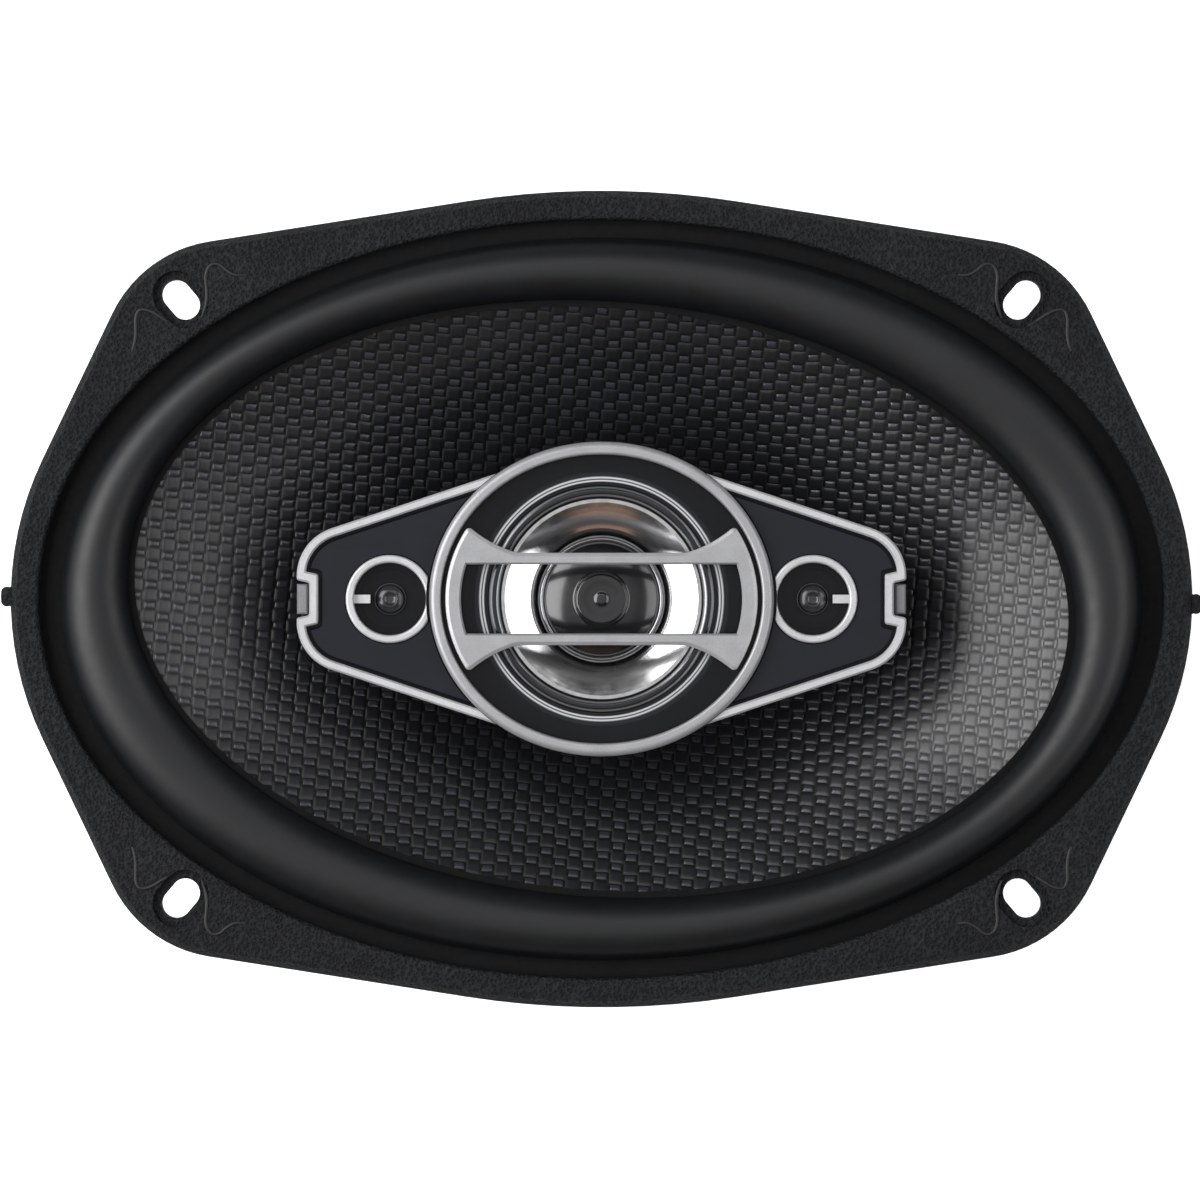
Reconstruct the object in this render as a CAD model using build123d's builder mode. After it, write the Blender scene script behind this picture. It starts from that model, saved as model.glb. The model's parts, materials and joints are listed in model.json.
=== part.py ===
from build123d import *
import os
from math import cos, pi, radians, sin, sqrt

# Coaxial 6 x 9 inch car speaker, four way, in millimetres.
# Z = 0 is the rear face of the mounting flange and +Z points at the listener.
# X runs along the long side of the flange, and the sound axis is the Z axis.

os.makedirs("parts", exist_ok=True)

# ---------------------------------------------------------------- driving dimensions
# Mounting flange: a rounded eight-sided outline, given by its corners before rounding.
END_CORNER_X = 125.5
SIDE_CORNER_Y = 84.0
MAIN_CORNER = (92.2, 69.6)
END_RADIUS = 64.8
SIDE_RADIUS = 175.0
MAIN_RADIUS = 26.0
SHEET = 1.2  # steel thickness of the pressed basket

# Mounting slots, one near each main corner.
SLOT_X = 84.2
SLOT_Y = 59.9
SLOT_WIDTH = 5.8
SLOT_LENGTH = 8.6
SLOT_TURN = 49.6

# Basket: an oval wall that falls to a round spider shelf and a round cup.
WALL_TOP = (110.4, 73.9)
WALL_BEND = (107.0, 70.6)
WALL_BEND_Z = -9.0
SHELF_Z = -34.0
SHELF_RADIUS = 54.0
CUP_RADIUS = 47.0
CUP_Z = -48.0
CUP_HOLE_RADIUS = 22.0
SPOKE_ANGLES = (0, 38, 90, 142, 180, 218, 270, 322, 360)
SPOKE_HALF_WIDTH = 5.5
RIVET_CIRCLE = 34.0
RIVET_RADIUS = 2.0

# Front gasket, the textured ring over the flange.
GASKET_TOP = 5.0
GASKET_OPENING = (112.6, 75.9)
GASKET_INSET = 0.3
SLOT_RECESS = 3.6
SLOT_RECESS_DEPTH = 1.4
TAB_X = 120.2
TAB_HALF = 2.0
TAB_HEIGHT = 2.6

# Surround: a half roll from the flange to the cone. The cone sits a few degrees round.
LIP = 0.8
LIP_OUTER = (115.2, 78.6)
ROLL_OUTER = (108.4, 72.4)
ROLL_INNER = (94.9, 59.5)
ROLL_HEIGHT = 6.2
ROLL_SKIN = 0.8
LIP_INNER = (94.5, 59.1)
CONE_TURN = -4.4

# Woofer cone, from its oval rim to the round neck.
CONE_RIM = (94.4, 59.0)
CONE_SKIN = 0.85
RIM_FOOT = 1.0
NECK_RADIUS = 16.6
NECK_Z = -31.0
CONE_BULGE = 0.86  # below one, the cone bows towards the listener

# Woofer voice coil and motor.
FORMER_RADIUS = 15.8
FORMER_WALL = 0.25
FORMER_TOP = -28.6
FORMER_BOTTOM = -58.0
COIL_RADIUS = 16.5
COIL_HEIGHT = 12.0
POLE_RADIUS = 15.0
POLE_TOP = -47.0
GAP_RADIUS = 17.0
PLATE_RADIUS = 45.0
PLATE_HEIGHT = 6.0
MAGNET_RADIUS = 50.0
MAGNET_BORE = 23.0
MAGNET_HEIGHT = 17.0
YOKE_HEIGHT = 6.0
VENT_RADIUS = 6.0
SPIDER_OUTER = 52.5
SPIDER_SKIN = 0.5
SPIDER_WAVE = 1.4
SPIDER_PITCH = 5.6

# Rubber boot round the magnet. Its flat back is what the speaker stands on.
BOOT_RADIUS = 53.4
BOOT_BOTTOM = -82.0
BOOT_FLOOR = 2.2
BOOT_LIP_RADIUS = 45.6
LEAD_CHANNEL = 4.0

# Terminal board, hung under a lug of the basket.
LUG_HALF = 6.0
LUG_END = 65.0
BOARD_HALF = 14.0
BOARD_START = 50.0
BOARD_END = 68.0
BOARD_HEIGHT = 1.6
BLADE_X = 9.0
BLADE_END = 75.5
BLADE_THICKNESS = 0.8
BLADE_WIDE = 6.35
BLADE_NARROW = 4.75
TERMINAL_RIVET_Y = 61.0
LEAD_RADIUS = 1.0
TINSEL_RADIUS = 0.8
TINSEL_CONE_Y = 26.0

# Centre pod: an oval bezel with a wing to each side, held on a hollow post.
BEZEL = (34.35, 31.35)
BEZEL_OPENING = (32.0, 28.8)
POD_TOP = 13.4
DECK_Z = 9.0
WING_END_X = 60.7
WING_CORNER_Y = 11.8
WING_ROOT_Y = 31.9
WING_START_X = 18.0
WING_RADIUS = 10.0
NOTCH_X = 58.2
NOTCH_HALF = 3.2
NOTCH_FLARE = 0.22
NOTCH_ROUND = 0.6
TRIM_WIDTH = 1.75
TRIM_TOP = 12.0
TRIM_GAP = 0.5
PLATE_TOP = 10.8
WING_BOTTOM = 1.0
WING_WALL = 3.2
POD_CUP_RADIUS = 27.0
POD_CUP_BOTTOM = -14.0
POD_WALL = 1.6
POST_RADIUS = 4.5
POST_THREAD = 3.6
POST_BORE = 2.2
NUT_FLATS = 11.0

# Crossbar grille.
CHEEK = (31.1, 27.9)
BAR_OUTER_Y = 9.2
BAR_INNER_Y = 6.9
BAR_SLOT = (28.0, 24.8)
BAR_BOTTOM = 11.4
BAR_TOP = 13.2
CHEEK_START = (16.8, 9.2)
CHEEK_MIDDLE = (22.6, 11.7)
CHEEK_TIP = (27.4, 15.4)

# Midrange driver in the pod.
MID_RIM = 25.4
MID_SEAT_Z = 5.0
MID_RIM_TOP = 7.2
MID_BORE = 23.0
MID_ROLL_OUTER = 22.8
MID_ROLL_INNER = 20.2
MID_CONE_RIM = 20.0
MID_CONE_Z = 7.0
MID_NECK = 7.65
MID_NECK_Z = -1.0
MID_CAP = 11.5
MID_CAP_STEP = 5.2
MID_CAP_Z = 2.2
MID_MOTOR_Z = -3.0
MID_PLATE_RADIUS = 13.0
MID_MAGNET_RADIUS = 14.0

# Super tweeters in the wings.
TWEETER_X = 42.2
TWEETER_RING = 8.8
TWEETER_HOLE = 7.2
TWEETER_FLOOR = 6.0
TWEETER_DOME = 3.3
TWEETER_GAP = 0.6
STRUT_START = 3.9
STRUT_HALF = 0.85

# Derived levels, from the front of the motor to its back.
PLATE_BOTTOM = CUP_Z - PLATE_HEIGHT
MAGNET_BOTTOM = PLATE_BOTTOM - MAGNET_HEIGHT
YOKE_BOTTOM = MAGNET_BOTTOM - YOKE_HEIGHT
RIM_Z = SHEET + LIP
COIL_MIDDLE = CUP_Z - PLATE_HEIGHT / 2
BOARD_TOP = SHELF_Z - SHEET
BOARD_BOTTOM = BOARD_TOP - BOARD_HEIGHT
LEAD_BACK_Z = YOKE_BOTTOM - LEAD_RADIUS - 0.4
LEAD_SIDE_Y = -(MAGNET_RADIUS + LEAD_RADIUS + 0.6)
POD_FLOOR = POD_CUP_BOTTOM + POD_WALL
POST_TOP = POD_FLOOR + 2.6


# ---------------------------------------------------------------- section helpers
def ring(z, outer, inner=0.0, x=0.0, y=0.0):
    """A disc or flat ring at height z."""
    with BuildSketch(Plane.XY.offset(z)) as section:
        with Locations((x, y)):
            Circle(outer)
            if inner:
                Circle(inner, mode=Mode.SUBTRACT)
    return section.sketch


def oval(z, size, turn=0.0, grow=0.0):
    """An oval at height z, size being its half length and half width."""
    with BuildSketch(Plane.XY.offset(z)) as section:
        Ellipse(size[0] + grow, size[1] + grow, rotation=turn)
    return section.sketch


def oval_ring(z, outer, inner, turn=0.0):
    """A flat oval ring at height z."""
    with BuildSketch(Plane.XY.offset(z)) as section:
        Ellipse(*outer, rotation=turn)
        Ellipse(*inner, rotation=turn, mode=Mode.SUBTRACT)
    return section.sketch


def slab(z, x_range, y_range):
    """A rectangle at height z between two x and two y values."""
    middle = ((x_range[0] + x_range[1]) / 2, (y_range[0] + y_range[1]) / 2)
    with BuildSketch(Plane.XY.offset(z)) as section:
        with Locations(middle):
            Rectangle(x_range[1] - x_range[0], y_range[1] - y_range[0])
    return section.sketch


def slot_pattern(z, grow=0.0):
    """The four mounting slots, each pointing at its corner of the flange."""
    with BuildSketch(Plane.XY.offset(z)) as section:
        for side_x in (-1, 1):
            for side_y in (-1, 1):
                with Locations((side_x * SLOT_X, side_y * SLOT_Y)):
                    SlotOverall(SLOT_LENGTH + grow, SLOT_WIDTH + grow,
                                rotation=SLOT_TURN * side_x * side_y)
    return section.sketch


def flange_outline(z, grow=0.0):
    """The rounded outline of the mounting flange."""
    with BuildSketch(Plane.XY.offset(z)) as section:
        with BuildLine():
            Polyline(
                (END_CORNER_X, 0), MAIN_CORNER, (0, SIDE_CORNER_Y),
                (-MAIN_CORNER[0], MAIN_CORNER[1]), (-END_CORNER_X, 0),
                (-MAIN_CORNER[0], -MAIN_CORNER[1]), (0, -SIDE_CORNER_Y),
                (MAIN_CORNER[0], -MAIN_CORNER[1]), close=True,
            )
        make_face()
        fillet([v for v in section.vertices() if abs(v.Y) < 1], END_RADIUS)
        fillet([v for v in section.vertices()
                if abs(abs(v.X) - MAIN_CORNER[0]) < 0.01 and abs(v.Y) > 60], MAIN_RADIUS)
        fillet([v for v in section.vertices() if abs(abs(v.Y) - SIDE_CORNER_Y) < 0.01], SIDE_RADIUS)
        if grow:
            offset(amount=grow)
    return section.sketch


def window(start, end):
    """The plan shape of an opening between two spokes of the basket."""
    first = Vector(cos(radians(start)), sin(radians(start)))
    last = Vector(cos(radians(end)), sin(radians(end)))
    middle = (first + last).normalized()
    tip = middle * (SPOKE_HALF_WIDTH / sin(radians((end - start) / 2)))
    with BuildSketch(Plane.XY.offset(SHELF_Z + 0.2)) as section:
        Ellipse(WALL_BEND[0] - 3, WALL_BEND[1] - 2.5)
        Ellipse(SHELF_RADIUS + 8, SHELF_RADIUS + 3.5, mode=Mode.SUBTRACT)
        with BuildLine():
            Polyline(tip, tip + first * 200, tip + last * 200, close=True)
        make_face(mode=Mode.INTERSECT)
        fillet(section.vertices(), 2.5)
    return section.sketch


def wing_outline(z, inset=0.0, clear=0.0):
    """The right-hand wing in plan, inset from its edge, less the bezel grown by clear."""
    slope = (WING_ROOT_Y - WING_CORNER_Y) / WING_END_X
    drop = inset * sqrt(1 + slope**2)
    end_x = WING_END_X - inset
    start_y = WING_ROOT_Y - drop - slope * WING_START_X
    corner_y = WING_ROOT_Y - drop - slope * end_x
    with BuildSketch(Plane.XY.offset(z)) as section:
        with BuildLine():
            Polyline((WING_START_X, -start_y), (end_x, -corner_y),
                     (end_x, corner_y), (WING_START_X, start_y), close=True)
        make_face()
        fillet([v for v in section.vertices() if v.X > WING_START_X + 1], WING_RADIUS - inset)
        depth, half = NOTCH_X - inset, NOTCH_HALF + inset
        far, wide = WING_END_X + 10, half + NOTCH_FLARE * (WING_END_X + 10 - depth)
        with BuildLine():
            Polyline((depth, -half), (far, -wide), (far, wide), (depth, half), close=True)
        make_face(mode=Mode.SUBTRACT)
        rounded = depth + 0.01 if inset else far
        fillet([v for v in section.vertices()
                if depth - 0.01 < v.X < rounded and abs(v.Y) < half + 1.5], NOTCH_ROUND)
        Ellipse(BEZEL[0] + clear, BEZEL[1] + clear, mode=Mode.SUBTRACT)
    return section.sketch


def on_sphere(x, radius, centre_z):
    """The point of a dome profile at distance x from the axis."""
    return (x, centre_z + sqrt(radius**2 - x**2))


def cone_sections(shift, extra):
    """Ovals from the neck to the rim of the woofer cone, the skin moved up by shift."""
    found = []
    for share in (0.0, 0.2, 0.4, 0.6, 0.8, 1.0, extra):
        length = NECK_RADIUS + (CONE_RIM[0] - NECK_RADIUS) * share
        width = NECK_RADIUS + (CONE_RIM[1] - NECK_RADIUS) * share
        height = NECK_Z + (RIM_Z - NECK_Z) * share**CONE_BULGE
        found.append(oval(height + shift, (length, width), CONE_TURN))
    return found


def oval_reach(size, turn, angle):
    """How far an oval reaches from its centre in the given direction."""
    across = radians(angle - turn)
    return 1 / sqrt((cos(across) / size[0])**2 + (sin(across) / size[1])**2)


def surround_section(angle):
    """The surround cut by an upright half plane through the sound axis."""
    lip_outer = oval_reach(LIP_OUTER, 0, angle)
    lip_inner = oval_reach(LIP_INNER, CONE_TURN, angle)
    outer = oval_reach(ROLL_OUTER, 0, angle)
    inner = oval_reach(ROLL_INNER, CONE_TURN, angle)
    middle = (outer + inner) / 2
    top = RIM_Z + ROLL_HEIGHT
    heading = (cos(radians(angle)), sin(radians(angle)), 0)
    upright = Plane(origin=(0, 0, 0), x_dir=heading, z_dir=(heading[1], -heading[0], 0))
    with BuildSketch(upright) as section:
        with BuildLine():
            Polyline((outer - ROLL_SKIN, SHEET), (lip_outer, SHEET), (lip_outer, RIM_Z),
                     (outer, RIM_Z))
            ThreePointArc((outer, RIM_Z), (middle, top), (inner, RIM_Z))
            Polyline((inner, RIM_Z), (lip_inner, RIM_Z), (lip_inner, SHEET),
                     (inner + ROLL_SKIN, SHEET))
            ThreePointArc((inner + ROLL_SKIN, SHEET), (middle, top - ROLL_SKIN),
                          (outer - ROLL_SKIN, SHEET))
        make_face()
    return section.sketch.faces()[0]


# ---------------------------------------------------------------- basket
with BuildPart() as basket:
    extrude(flange_outline(0), amount=SHEET)
    loft([oval(0, WALL_TOP, grow=SHEET), oval(WALL_BEND_Z, WALL_BEND, grow=SHEET),
          ring(SHELF_Z - SHEET, SHELF_RADIUS + SHEET)], ruled=True)
    extrude(ring(CUP_Z, CUP_RADIUS + SHEET), amount=SHELF_Z - CUP_Z)
    extrude(slab(BOARD_TOP, (-LUG_HALF, LUG_HALF), (-LUG_END, -SHELF_RADIUS)), amount=SHEET)
    extrude(oval(0, WALL_TOP), amount=SHEET, mode=Mode.SUBTRACT)
    loft([oval(0, WALL_TOP), oval(WALL_BEND_Z, WALL_BEND), ring(SHELF_Z, SHELF_RADIUS)],
         ruled=True, mode=Mode.SUBTRACT)
    extrude(ring(CUP_Z + SHEET, CUP_RADIUS), amount=SHELF_Z - CUP_Z - SHEET, mode=Mode.SUBTRACT)
    extrude(ring(CUP_Z, CUP_HOLE_RADIUS), amount=SHEET, mode=Mode.SUBTRACT)
    for start, end in zip(SPOKE_ANGLES, SPOKE_ANGLES[1:]):
        extrude(window(start, end), amount=WALL_BEND_Z - SHELF_Z, mode=Mode.SUBTRACT)
    extrude(slot_pattern(0), amount=SHEET, mode=Mode.SUBTRACT)
    with BuildSketch(Plane.XY.offset(CUP_Z)):
        with PolarLocations(RIVET_CIRCLE, 4, start_angle=45):
            Circle(RIVET_RADIUS)
    extrude(amount=SHEET, mode=Mode.SUBTRACT)
    extrude(ring(BOARD_TOP, 1.6, y=-TERMINAL_RIVET_Y), amount=SHEET, mode=Mode.SUBTRACT)
basket.part.label = "basket"
export_step(basket.part, "parts/basket.step")

# ---------------------------------------------------------------- front gasket
with BuildPart() as front_gasket:
    extrude(flange_outline(SHEET, -GASKET_INSET), amount=GASKET_TOP - SHEET)
    chamfer(front_gasket.faces().sort_by(Axis.Z)[-1].edges(), 1.1)
    for side, middle in ((-1, 0.5), (1, -1.0)):
        ends = sorted((side * 116.0, side * TAB_X))
        with BuildSketch(Plane.XY.offset(SHEET)) as tab:
            with Locations((sum(ends) / 2, middle)):
                RectangleRounded(ends[1] - ends[0], 2 * TAB_HALF, 1.2)
        extrude(amount=TAB_HEIGHT)
        for edge in (-1, 1):
            extrude(ring(SHEET, 0.6, x=side * 118.6, y=middle + edge * (TAB_HALF + 0.5)),
                    amount=GASKET_TOP - SHEET, mode=Mode.SUBTRACT)
    extrude(oval(SHEET, LIP_OUTER), amount=LIP, mode=Mode.SUBTRACT)
    extrude(oval(SHEET, GASKET_OPENING), amount=GASKET_TOP - SHEET, mode=Mode.SUBTRACT)
    inner_edge = [e for e in front_gasket.edges() if abs(e.center().Z - GASKET_TOP) < 0.01
                  and e.bounding_box().size.X > 200 and e.bounding_box().size.X < 226]
    fillet(inner_edge, 0.8)
    extrude(slot_pattern(GASKET_TOP - SLOT_RECESS_DEPTH, SLOT_RECESS),
            amount=SLOT_RECESS_DEPTH, mode=Mode.SUBTRACT)
    extrude(slot_pattern(SHEET), amount=GASKET_TOP - SHEET, mode=Mode.SUBTRACT)
front_gasket.part.label = "front_gasket"
export_step(front_gasket.part, "parts/front_gasket.step")

# ---------------------------------------------------------------- surround
with BuildPart() as surround:
    for half in (0, 180):
        loft([surround_section(half + step * 15) for step in range(13)])
surround.part.label = "surround"
export_step(surround.part, "parts/surround.step")

# ---------------------------------------------------------------- woofer cone and coil
with BuildPart() as woofer_cone:
    loft(cone_sections(0, 1.02))
    split(bisect_by=Plane.XY.offset(RIM_Z), keep=Keep.BOTTOM)
    loft(cone_sections(CONE_SKIN, 1.02), mode=Mode.SUBTRACT)
    extrude(oval_ring(SHEET, CONE_RIM, (CONE_RIM[0] - RIM_FOOT, CONE_RIM[1] - RIM_FOOT), CONE_TURN),
            amount=LIP)
    extrude(ring(NECK_Z - 1, FORMER_RADIUS + FORMER_WALL), amount=6, mode=Mode.SUBTRACT)
    for side in (-1, 1):
        extrude(ring(NECK_Z, TINSEL_RADIUS, x=side * BLADE_X, y=-TINSEL_CONE_Y), amount=14,
                mode=Mode.SUBTRACT)
woofer_cone.part.label = "woofer_cone"
export_step(woofer_cone.part, "parts/woofer_cone.step")

with BuildPart() as coil_former:
    extrude(ring(FORMER_BOTTOM, FORMER_RADIUS + FORMER_WALL, FORMER_RADIUS),
            amount=FORMER_TOP - FORMER_BOTTOM)
coil_former.part.label = "coil_former"
export_step(coil_former.part, "parts/coil_former.step")

with BuildPart() as coil_winding:
    extrude(ring(COIL_MIDDLE - COIL_HEIGHT / 2, COIL_RADIUS, FORMER_RADIUS + FORMER_WALL),
            amount=COIL_HEIGHT)
coil_winding.part.label = "coil_winding"
export_step(coil_winding.part, "parts/coil_winding.step")

with BuildPart() as dust_screen:
    extrude(ring(FORMER_TOP - 1.6, FORMER_RADIUS, POST_RADIUS + 0.7), amount=1.0)
dust_screen.part.label = "dust_screen"
export_step(dust_screen.part, "parts/dust_screen.step")

# ---------------------------------------------------------------- spider
with BuildPart() as spider:
    with BuildSketch(Plane.XZ):
        with BuildLine():
            flat_in, flat_out = FORMER_RADIUS + FORMER_WALL + 3.0, SPIDER_OUTER - 3.2
            waves = round((flat_out - flat_in) / SPIDER_PITCH)
            steps = waves * 8
            lower = []
            for step in range(steps + 1):
                lower.append((flat_in + (flat_out - flat_in) * step / steps,
                              SHELF_Z - SPIDER_WAVE * sin(2 * pi * waves * step / steps)))
            upper = [(x, z + SPIDER_SKIN) for x, z in lower]
            inside, outside = FORMER_RADIUS + FORMER_WALL, SPIDER_OUTER
            low_run = Spline(*lower)
            high_run = Spline(*upper)
            Polyline(low_run @ 0, (inside, SHELF_Z), (inside, SHELF_Z + SPIDER_SKIN), high_run @ 0)
            Polyline(low_run @ 1, (outside, SHELF_Z), (outside, SHELF_Z + SPIDER_SKIN), high_run @ 1)
        make_face()
    revolve(axis=Axis.Z)
spider.part.label = "spider"
export_step(spider.part, "parts/spider.step")

# ---------------------------------------------------------------- motor
with BuildPart() as top_plate:
    extrude(ring(PLATE_BOTTOM, PLATE_RADIUS, GAP_RADIUS), amount=PLATE_HEIGHT)
    with BuildSketch(Plane.XY.offset(PLATE_BOTTOM)):
        with PolarLocations(RIVET_CIRCLE, 4, start_angle=45):
            Circle(RIVET_RADIUS)
    extrude(amount=PLATE_HEIGHT, mode=Mode.SUBTRACT)
top_plate.part.label = "top_plate"
export_step(top_plate.part, "parts/top_plate.step")

with BuildPart() as plate_rivets:
    with BuildSketch(Plane.XY.offset(PLATE_BOTTOM + 0.5)):
        with PolarLocations(RIVET_CIRCLE, 4, start_angle=45):
            Circle(RIVET_RADIUS)
    extrude(amount=PLATE_HEIGHT - 0.5 + SHEET + 0.5)
    with BuildSketch(Plane.XY.offset(CUP_Z + SHEET)):
        with PolarLocations(RIVET_CIRCLE, 4, start_angle=45):
            Circle(RIVET_RADIUS + 1.4)
    extrude(amount=1.2)
    fillet(plate_rivets.edges().group_by(Axis.Z)[-1], 0.6)
plate_rivets.part.label = "plate_rivets"
export_step(plate_rivets.part, "parts/plate_rivets.step")

with BuildPart() as magnet_ring:
    extrude(ring(MAGNET_BOTTOM, MAGNET_RADIUS, MAGNET_BORE), amount=MAGNET_HEIGHT)
    chamfer(magnet_ring.edges().group_by(Axis.Z)[0] + magnet_ring.edges().group_by(Axis.Z)[-1], 0.6)
magnet_ring.part.label = "magnet_ring"
export_step(magnet_ring.part, "parts/magnet_ring.step")

with BuildPart() as t_yoke:
    extrude(ring(YOKE_BOTTOM, PLATE_RADIUS), amount=YOKE_HEIGHT)
    chamfer(t_yoke.edges().group_by(Axis.Z)[0], 1.5)
    extrude(ring(MAGNET_BOTTOM, POLE_RADIUS), amount=POLE_TOP - MAGNET_BOTTOM)
    extrude(ring(YOKE_BOTTOM, VENT_RADIUS), amount=POLE_TOP - YOKE_BOTTOM, mode=Mode.SUBTRACT)
t_yoke.part.label = "t_yoke"
export_step(t_yoke.part, "parts/t_yoke.step")

with BuildPart() as magnet_boot:
    extrude(ring(BOOT_BOTTOM, BOOT_RADIUS), amount=PLATE_BOTTOM + 2 - BOOT_BOTTOM)
    fillet(magnet_boot.edges().group_by(Axis.Z)[0], 2.5)
    fillet(magnet_boot.edges().group_by(Axis.Z)[-1], 1.0)
    extrude(ring(BOOT_BOTTOM + BOOT_FLOOR, MAGNET_RADIUS),
            amount=PLATE_BOTTOM - BOOT_BOTTOM - BOOT_FLOOR, mode=Mode.SUBTRACT)
    extrude(ring(PLATE_BOTTOM, BOOT_LIP_RADIUS), amount=2, mode=Mode.SUBTRACT)
    extrude(ring(BOOT_BOTTOM + BOOT_FLOOR, 36, 30), amount=YOKE_BOTTOM - BOOT_BOTTOM - BOOT_FLOOR)
    extrude(slab(BOOT_BOTTOM + BOOT_FLOOR, (-LEAD_CHANNEL / 2, LEAD_CHANNEL / 2), (-60, 0)),
            amount=PLATE_BOTTOM + 2 - BOOT_BOTTOM - BOOT_FLOOR, mode=Mode.SUBTRACT)
    for z in (-75.0, -68.0, -61.0):
        extrude(ring(z, BOOT_RADIUS + 1, BOOT_RADIUS - 0.6), amount=1.2, mode=Mode.SUBTRACT)
    extrude(ring(BOOT_BOTTOM, 18), amount=0.8, mode=Mode.SUBTRACT)
    extrude(ring(BOOT_BOTTOM, 44, 42.5), amount=0.6, mode=Mode.SUBTRACT)
magnet_boot.part.label = "magnet_boot"
export_step(magnet_boot.part, "parts/magnet_boot.step")

# ---------------------------------------------------------------- terminals and leads
with BuildPart() as terminal_board:
    extrude(slab(BOARD_BOTTOM, (-BOARD_HALF, BOARD_HALF), (-BOARD_END, -BOARD_START)),
            amount=BOARD_HEIGHT)
    fillet(terminal_board.edges().filter_by(Axis.Z), 1.5)
    extrude(ring(BOARD_BOTTOM, 1.6, y=-TERMINAL_RIVET_Y), amount=BOARD_HEIGHT, mode=Mode.SUBTRACT)
    for side in (-1, 1):
        extrude(ring(BOARD_BOTTOM, 1.3, x=side * BLADE_X, y=-TERMINAL_RIVET_Y),
                amount=BOARD_HEIGHT, mode=Mode.SUBTRACT)
terminal_board.part.label = "terminal_board"
export_step(terminal_board.part, "parts/terminal_board.step")

with BuildPart() as board_rivet:
    extrude(ring(BOARD_BOTTOM, 1.6, y=-TERMINAL_RIVET_Y), amount=BOARD_HEIGHT + SHEET)
    extrude(ring(BOARD_BOTTOM - 1.0, 3.0, y=-TERMINAL_RIVET_Y), amount=1.0)
    extrude(ring(SHELF_Z, 3.0, y=-TERMINAL_RIVET_Y), amount=1.0)
board_rivet.part.label = "board_rivet"
export_step(board_rivet.part, "parts/board_rivet.step")

with BuildPart() as terminal_rivets:
    for side in (-1, 1):
        extrude(ring(BOARD_BOTTOM - BLADE_THICKNESS, 1.3, x=side * BLADE_X, y=-TERMINAL_RIVET_Y),
                amount=BOARD_HEIGHT + BLADE_THICKNESS)
        extrude(ring(BOARD_BOTTOM - BLADE_THICKNESS - 0.8, 2.4, x=side * BLADE_X,
                     y=-TERMINAL_RIVET_Y), amount=0.8)
        extrude(ring(BOARD_TOP, 2.4, x=side * BLADE_X, y=-TERMINAL_RIVET_Y), amount=0.8)
terminal_rivets.part.label = "terminal_rivets"
export_step(terminal_rivets.part, "parts/terminal_rivets.step")

with BuildPart() as terminal_positive:
    extrude(slab(BOARD_BOTTOM - BLADE_THICKNESS, (BLADE_X - BLADE_WIDE / 2, BLADE_X + BLADE_WIDE / 2),
                 (-BLADE_END, -56)), amount=BLADE_THICKNESS)
    chamfer(terminal_positive.edges().filter_by(Axis.Z).group_by(Axis.Y)[0], 1.2)
    extrude(ring(BOARD_BOTTOM - BLADE_THICKNESS, 1.3, x=BLADE_X, y=-TERMINAL_RIVET_Y),
            amount=BLADE_THICKNESS, mode=Mode.SUBTRACT)
    extrude(ring(BOARD_BOTTOM - BLADE_THICKNESS, 0.9, x=BLADE_X, y=-BLADE_END + 3.2),
            amount=BLADE_THICKNESS, mode=Mode.SUBTRACT)
terminal_positive.part.label = "terminal_positive"
export_step(terminal_positive.part, "parts/terminal_positive.step")

with BuildPart() as terminal_negative:
    extrude(slab(BOARD_BOTTOM - BLADE_THICKNESS,
                 (-BLADE_X - BLADE_NARROW / 2, -BLADE_X + BLADE_NARROW / 2), (-BLADE_END, -56)),
            amount=BLADE_THICKNESS)
    chamfer(terminal_negative.edges().filter_by(Axis.Z).group_by(Axis.Y)[0], 1.0)
    extrude(ring(BOARD_BOTTOM - BLADE_THICKNESS, 1.3, x=-BLADE_X, y=-TERMINAL_RIVET_Y),
            amount=BLADE_THICKNESS, mode=Mode.SUBTRACT)
    extrude(ring(BOARD_BOTTOM - BLADE_THICKNESS, 0.7, x=-BLADE_X, y=-BLADE_END + 3.2),
            amount=BLADE_THICKNESS, mode=Mode.SUBTRACT)
terminal_negative.part.label = "terminal_negative"
export_step(terminal_negative.part, "parts/terminal_negative.step")

with BuildPart() as tinsel_lead_positive:
    with BuildLine() as positive_run:
        FilletPolyline(
            (BLADE_X, -TERMINAL_RIVET_Y, BOARD_TOP + 0.8), (BLADE_X, -TERMINAL_RIVET_Y, -26.8),
            (BLADE_X, -46, -26.8), (BLADE_X, -TINSEL_CONE_Y, -29.0),
            (BLADE_X, -TINSEL_CONE_Y, -18.8), radius=3.0)
    with BuildSketch(Plane(origin=positive_run.line @ 0, z_dir=positive_run.line % 0)):
        Circle(TINSEL_RADIUS)
    sweep(path=positive_run.line)
tinsel_lead_positive.part.label = "tinsel_lead_positive"
export_step(tinsel_lead_positive.part, "parts/tinsel_lead_positive.step")

with BuildPart() as tinsel_lead_negative:
    mirror(tinsel_lead_positive.part, about=Plane.YZ)
tinsel_lead_negative.part.label = "tinsel_lead_negative"
export_step(tinsel_lead_negative.part, "parts/tinsel_lead_negative.step")

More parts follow.
